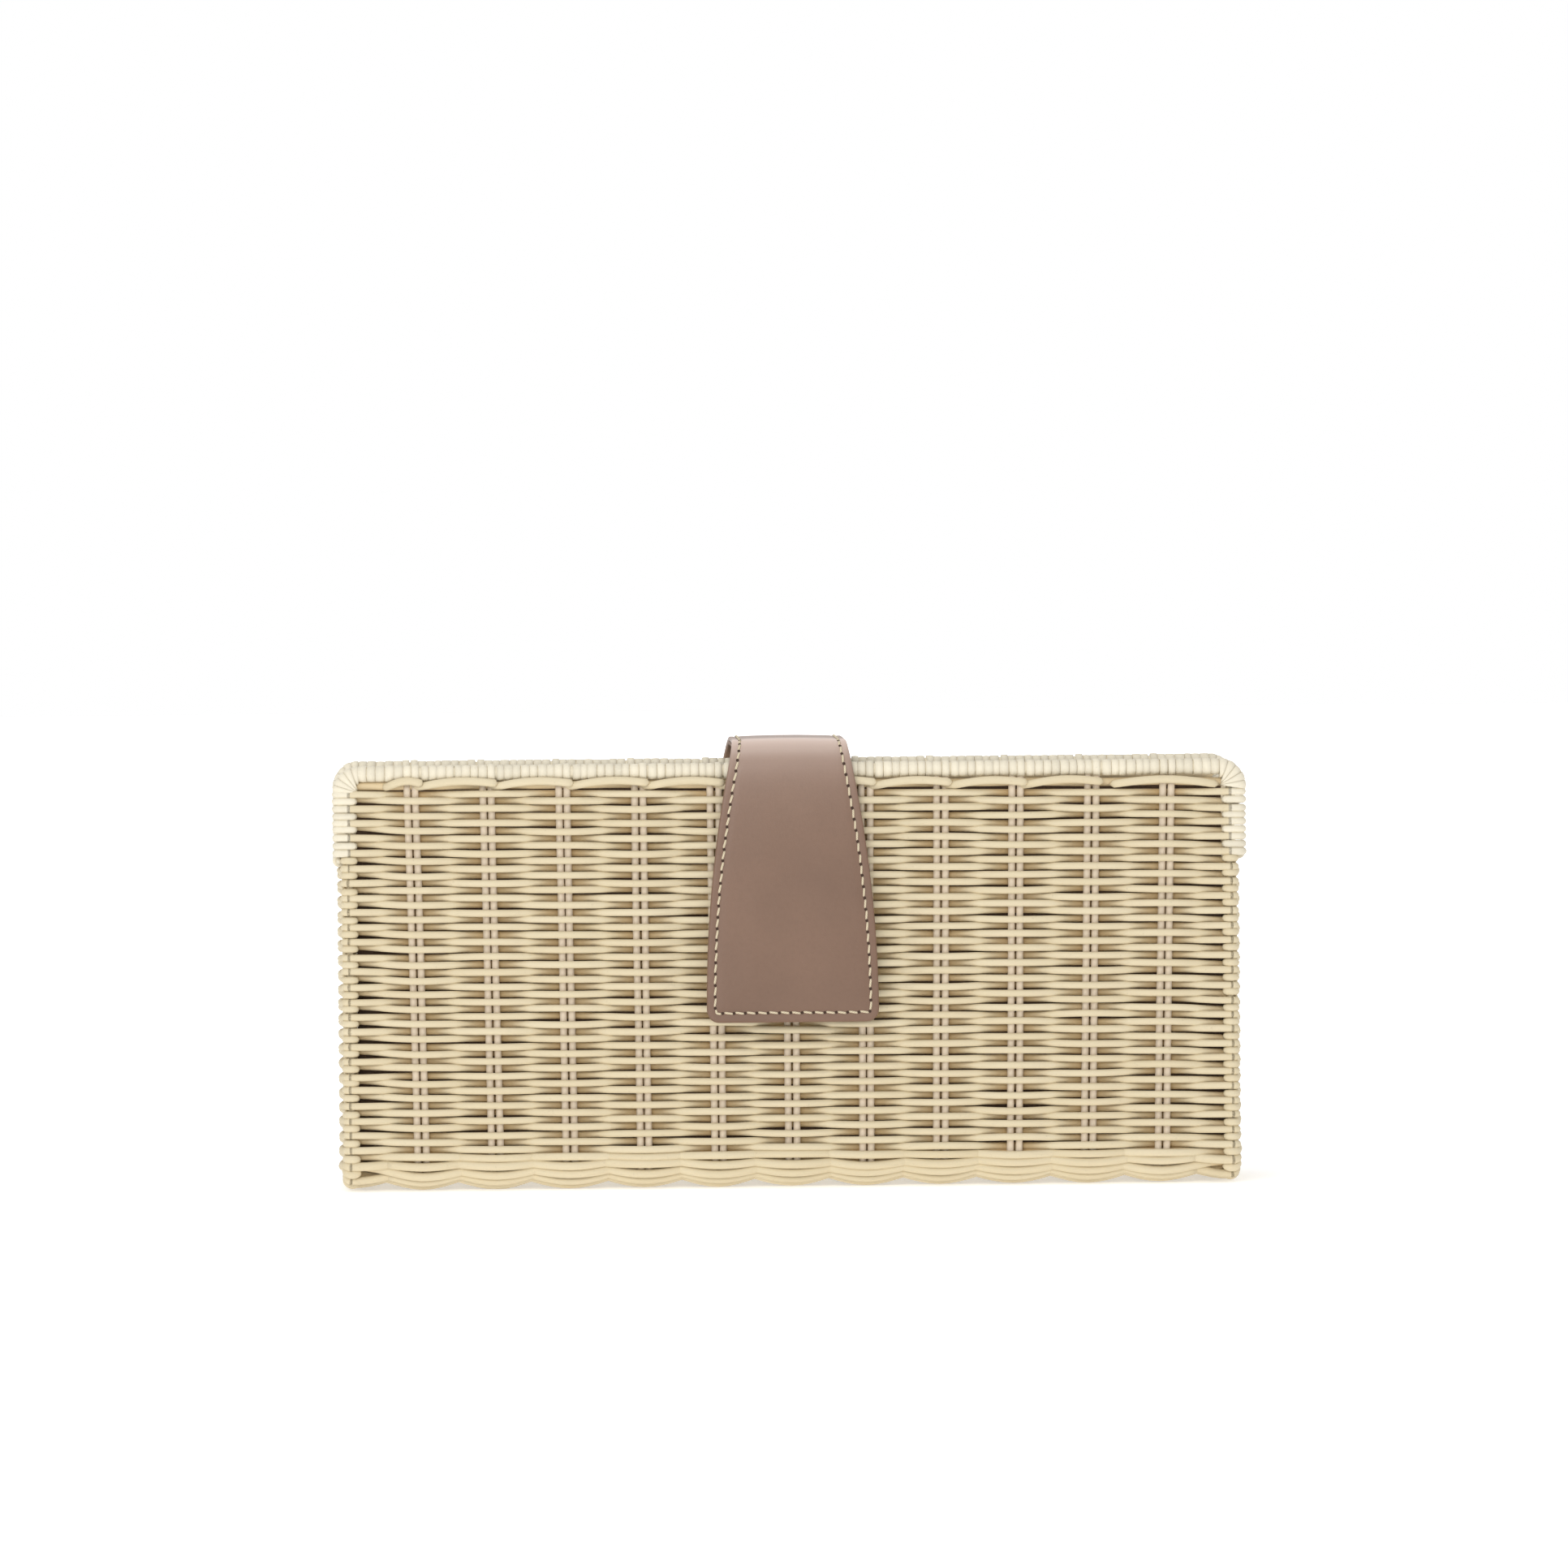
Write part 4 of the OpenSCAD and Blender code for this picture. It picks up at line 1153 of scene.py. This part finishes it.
def cloth(made, base):
    """Cotton: crossed threads from two sine waves, with soft fuzz."""
    place = made.along()
    threads = made.math("MULTIPLY", *(made.wave(place, 420, direction) for direction in "XY"))
    fuzz = made.ramp(made.noise(place, 260), 0.3, 0.7)
    made.feed(made.mix(fuzz, made.mix(threads, darker(base, 0.7), base), base), "Base Color")
    made.feed(0.9, "Roughness")
    made.feed(0.25, "Sheen Weight")
    made.bump(threads, 0.4, 0.0002)


def thread(made, base):
    """Waxed thread: two strands twisted along the stitch."""
    inputs = {"Vector": made.along(), "Scale": (900, 2, 1)}
    twist = made.wave(made.add("ShaderNodeMapping", "Vector", inputs), 1, "DIAGONAL")
    made.feed(made.mix(twist, darker(base, 0.6), base), "Base Color")
    made.feed(0.6, "Roughness")
    made.bump(twist, 0.5, 0.0002)


def painted_hole_shade(made, base):
    """Painted shade inside a needle hole: a dark colour, a little uneven."""
    uneven = made.noise(made.place(), 2000, 1)
    made.feed(made.mix(uneven, base, darker(base, 0.6)), "Base Color")
    made.feed(0.95, "Roughness")


def snap_metal(made, base):
    """Light gold plating with faint scratches."""
    scratch = made.noise(made.place(), 500, 4, (1, 1, 14))
    made.feed(made.mix(made.ramp(scratch, 0.4, 0.7), base, darker(base, 0.82)), "Base Color")
    made.feed(1, "Metallic")
    made.feed(made.ramp(scratch, 0, 1, 0.22, 0.4), "Roughness")
    made.bump(scratch, 0.08, 0.0001)


def finish(name):
    """The finish of that name, made once from the colours in the panel."""
    if name in bpy.data.materials:
        return bpy.data.materials[name]
    chips = bpy.context.scene.clutch_finish
    edge = chips.leather_edge
    make, *looks = {
        "woven_cane": (rattan, chips.cane, chips.cane_shade, 0.5),
        "stake_cane": (rattan, chips.rod, darker(chips.rod, 0.86), 0.52),
        "wound_cane": (rattan, chips.wrap, darker(chips.wrap, 0.84), 0.48),
        "strap_leather": (leather, chips.leather, edge, chips.leather_highlight, 0.42),
        "strap_backing": (leather, chips.backing, edge, chips.backing, 0.7),
        "stitch_thread": (thread, chips.thread),
        "needle_hole": (painted_hole_shade, chips.hole),
        "lining_cotton": (cloth, chips.lining),
        "snap_plating": (snap_metal, chips.metal),
    }[name]
    material = bpy.data.materials.new(name)
    make(Nodes(material), *looks)
    return material


# ---- Operators ----


class CLUTCH_OT_weave(bpy.types.Operator):
    """Weave the front, the base and the back round their stakes"""

    bl_idname = "clutch.weave"
    bl_label = "Weave the Basket"

    def execute(self, context):
        scene = context.scene
        section = Section(scene)
        weave = Weave(scene, section)
        front = weave.s < section.face
        back = weave.s > 2 * section.half - section.face
        for name, rows, more in (
            ("front_weavers", front, [border_row(scene, section, scene.clutch_weave.drift)]),
            ("base_weavers", ~front & ~back, [weave.packed]),
            ("back_weavers", back, half_turned([border_row(scene, section, 0.0)])),
        ):
            piece = strand_mesh(name, [weave.wall(rows), *more])
            dress(piece, "basket", finish("woven_cane"), ["woven_body"])
        stakes = strand_mesh("stakes", [stake_bundle(scene, section)])
        dress(stakes, "basket", finish("stake_cane"), ["woven_body"])
        return {"FINISHED"}


class CLUTCH_OT_rails(bpy.types.Operator):
    """Wind the weavers round both edge rails"""

    bl_idname = "clutch.rails"
    bl_label = "Wind the Rails"

    def execute(self, context):
        section = Section(context.scene)
        weave = Weave(context.scene, section)
        core = rail_core(section, context.scene.clutch_rims, np.random.default_rng(3))
        for side, turns, rod in (
            ("left", weave.left_turns, half_turned([core])[0]),
            ("right", weave.right_turns, core),
        ):
            piece = strand_mesh(f"{side}_rail_winding", [turns(~weave.leg), rod])
            dress(piece, "basket", finish("woven_cane"), [f"{side}_rail"])
        return {"FINISHED"}


class CLUTCH_OT_rims(bpy.types.Operator):
    """Wind both rims and lay the border strands under them"""

    bl_idname = "clutch.rims"
    bl_label = "Wind the Rims"

    def execute(self, context):
        scene = context.scene
        section = Section(scene)
        weave = Weave(scene, section)
        corner_slip = 0.16
        for name, seed, front in (("front", 5, True), ("back", 6, False)):
            rng = np.random.default_rng(seed)
            rows = weave.leg & ((weave.s < section.half) == front)
            slip, drift = (corner_slip, scene.clutch_weave.drift) if front else (0.0, 0.0)
            turns = [rim_turns(scene, section, rng, slip), rim_core(scene, section, rng)]
            ends = [border_strand_bundle(scene, section, rng, drift)]
            if not front:
                turns, ends = half_turned(turns), half_turned(ends)
            turns += [weave.left_turns(rows), weave.right_turns(rows)]
            for piece, bundles, cane, slot, node in (
                ("rim_winding", turns, "wound_cane", "rattan_wrap", "rim"),
                ("stake_ends", ends, "woven_cane", "rattan_strand", "border_strands"),
            ):
                piece = strand_mesh(f"{name}_{piece}", bundles)
                dress(piece, "basket", finish(cane), [f"{name}_{node}"])
        return {"FINISHED"}


class CLUTCH_OT_side_walls(bpy.types.Operator):
    """Weave both side walls and wind the borders over them"""

    bl_idname = "clutch.side_walls"
    bl_label = "Weave the Side Walls"

    def execute(self, context):
        section = Section(context.scene)
        wall = side_bundles(context.scene, section)
        border = side_border_bundles(context.scene, section)
        for side in ("right", "left"):
            for piece, bundles, cane, slot, node in (
                ("side_weavers", wall, "woven_cane", "rattan_weave", "side_wall"),
                ("side_winding", border, "wound_cane", "rattan_wrap", "side_border"),
            ):
                if side == "left":
                    bundles = half_turned(bundles)
                piece = strand_mesh(f"{side}_{piece}", bundles)
                dress(piece, "basket", finish(cane), [f"{side}_{node}"])
        return {"FINISHED"}


class CLUTCH_OT_lining(bpy.types.Operator):
    """Sew the lining into the basket"""

    bl_idname = "clutch.lining"
    bl_label = "Sew the Lining"

    def execute(self, context):
        piece, flat, area = lining_cloth("case_lining", context.scene, Section(context.scene))
        dress(piece, "basket", finish("lining_cotton"), ["lining"])
        return {"FINISHED"}


class CLUTCH_OT_strap(bpy.types.Operator):
    """Cut the leather strap and its backing and sew them together"""

    bl_idname = "clutch.strap"
    bl_label = "Make the Strap"

    def execute(self, context):
        scene = context.scene
        section = Section(scene)
        strap = scene.clutch_strap
        half = (strap.leather + strap.backing) / 2
        seam, glue, crown = strap.backing - half, 0.00005, 0.00035
        outer = strap_layer("strap_leather", scene, section, seam + glue, half, crown)
        inner = strap_layer("strap_backing", scene, section, -half, seam - glue, 0.0)
        sewing = stitches("strap_stitches", scene, section)
        pits = needle_holes("strap_needle_holes", scene, section)
        for piece, material, slot, nodes in (
            (outer, "strap_leather", "tab_leather", ["tab_leather", "anchor_leather"]),
            (inner, "strap_backing", "backing_leather", ["tab_backing", "anchor_backing"]),
            (sewing, "stitch_thread", "tab_leather", []),
            (pits, "needle_hole", "tab_leather", []),
        ):
            dress(piece, None, finish(material), nodes)
            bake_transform(piece)
        return {"FINISHED"}


class CLUTCH_OT_snap(bpy.types.Operator):
    """Plate the two halves of the snap and its washer"""

    bl_idname = "clutch.snap"
    bl_label = "Plate the Snap"

    def execute(self, context):
        for name in ("snap_socket", "snap_washer", "snap_stud"):
            part = frame["nodes"][name]
            part.data.materials.clear()
            part.data.materials.append(finish("snap_plating"))
        return {"FINISHED"}


def lamp(name, place, aim, power, size):
    """Soft square lamp at a place, turned towards a point."""
    light = bpy.data.lights.new(name, "AREA")
    light.energy = power
    light.size = size
    item = bpy.data.objects.new(name, light)
    item.location = place
    item.rotation_euler = (Vector(aim) - Vector(place)).to_track_quat("-Z", "Y").to_euler()
    bpy.context.scene.collection.objects.link(item)


class CLUTCH_OT_stage(bpy.types.Operator):
    """Set the floor, the lamps and the camera"""

    bl_idname = "clutch.stage"
    bl_label = "Set the Stage"

    def execute(self, context):
        scene = context.scene
        view = scene.clutch_view
        scene.view_settings.view_transform = "Standard"

        corners = np.array([[0, 0], [1, 0], [1, 1], [0, 1]])
        half = 4.0
        places = np.pad((2 * corners - 1) * half, ((0, 0), (0, 1)))
        floor = surface("floor", places, np.arange(4), np.array([4]), corners, {})
        paper = Nodes(bpy.data.materials.new("white_paper"))
        place = paper.place()
        tone = paper.mix(paper.noise(place, 3, 2), [0.86] * 3, [0.89] * 3)
        paper.feed(tone, "Base Color")
        paper.feed(0.9, "Roughness")
        paper.feed((1, 1, 1), "Emission Color")
        # The floor glows white to the camera, less under the clutch so that its shadow shows, and
        # glows at half strength to all other rays, which lights the clutch from below.
        reach = paper.add("ShaderNodeVectorMath", "Value", {0: place}, operation="LENGTH")
        paper.feed(paper.seen(0.5, paper.ramp(reach, 0.2, 0.9, 0.4, 1)), "Emission Strength")
        floor.data.materials.append(paper.owner)

        scene.world = bpy.data.worlds.new("studio")
        sky = Nodes(scene.world, "Background")
        sky.feed((1, 1, 1), "Color")
        sky.feed(sky.seen(view.ambient, 1), "Strength")
        aim = (0, 0, 0.07)
        lamp("key_lamp", (-0.1, -0.12, 1.25), aim, view.key, 0.45)
        lamp("fill_lamp", (-0.6, -1.7, 0.8), aim, view.fill, 1.0)

        camera = bpy.data.cameras.new("camera")
        camera.lens = view.lens
        camera.sensor_width = 36
        item = bpy.data.objects.new("camera", camera)
        target = Vector((-0.0010, 0, 0.1272))
        turn = Euler((math.pi / 2 - view.elevation, 0, -view.bearing), "XYZ").to_matrix()
        item.location = target + turn @ Vector((0, 0, view.distance))
        roll = Euler((0, 0, -view.roll), "XYZ").to_matrix()
        item.rotation_euler = (turn @ roll).to_euler()
        scene.collection.objects.link(item)
        scene.camera = item
        return {"FINISHED"}


class CLUTCH_PT_panel(bpy.types.Panel):
    """Sizes, colours and steps of the clutch"""

    bl_label = "Woven Clutch"
    bl_idname = "CLUTCH_PT_panel"
    bl_space_type = "VIEW_3D"
    bl_region_type = "UI"
    bl_category = "Clutch"

    def draw(self, context):
        for step in STEPS:
            self.layout.operator(step.bl_idname)
        for name in GROUPS:
            box = self.layout.box()
            group = getattr(context.scene, name)
            for key in group.__annotations__:
                box.prop(group, key)


GROUPS = {
    "clutch_basket": BasketSizes,
    "clutch_weave": WeaveSizes,
    "clutch_rims": RimSizes,
    "clutch_strap": StrapSizes,
    "clutch_finish": FinishColours,
    "clutch_view": ViewSettings,
}
STEPS = (
    CLUTCH_OT_stage,
    CLUTCH_OT_weave,
    CLUTCH_OT_rails,
    CLUTCH_OT_rims,
    CLUTCH_OT_side_walls,
    CLUTCH_OT_lining,
    CLUTCH_OT_strap,
    CLUTCH_OT_snap,
)


def register():
    for group in GROUPS.values():
        bpy.utils.register_class(group)
    for step in (*STEPS, CLUTCH_PT_panel):
        bpy.utils.register_class(step)
    for name, group in GROUPS.items():
        setattr(bpy.types.Scene, name, bpy.props.PointerProperty(type=group))


def unregister():
    for name in GROUPS:
        delattr(bpy.types.Scene, name)
    for step in (CLUTCH_PT_panel, *reversed(STEPS)):
        bpy.utils.unregister_class(step)
    for group in reversed(GROUPS.values()):
        bpy.utils.unregister_class(group)


def main():
    register()
    bpy.ops.clutch.stage()
    bpy.ops.clutch.weave()
    bpy.ops.clutch.rails()
    bpy.ops.clutch.rims()
    bpy.ops.clutch.side_walls()
    bpy.ops.clutch.lining()
    bpy.ops.clutch.strap()
    bpy.ops.clutch.snap()


if __name__ == "__main__":
    main()
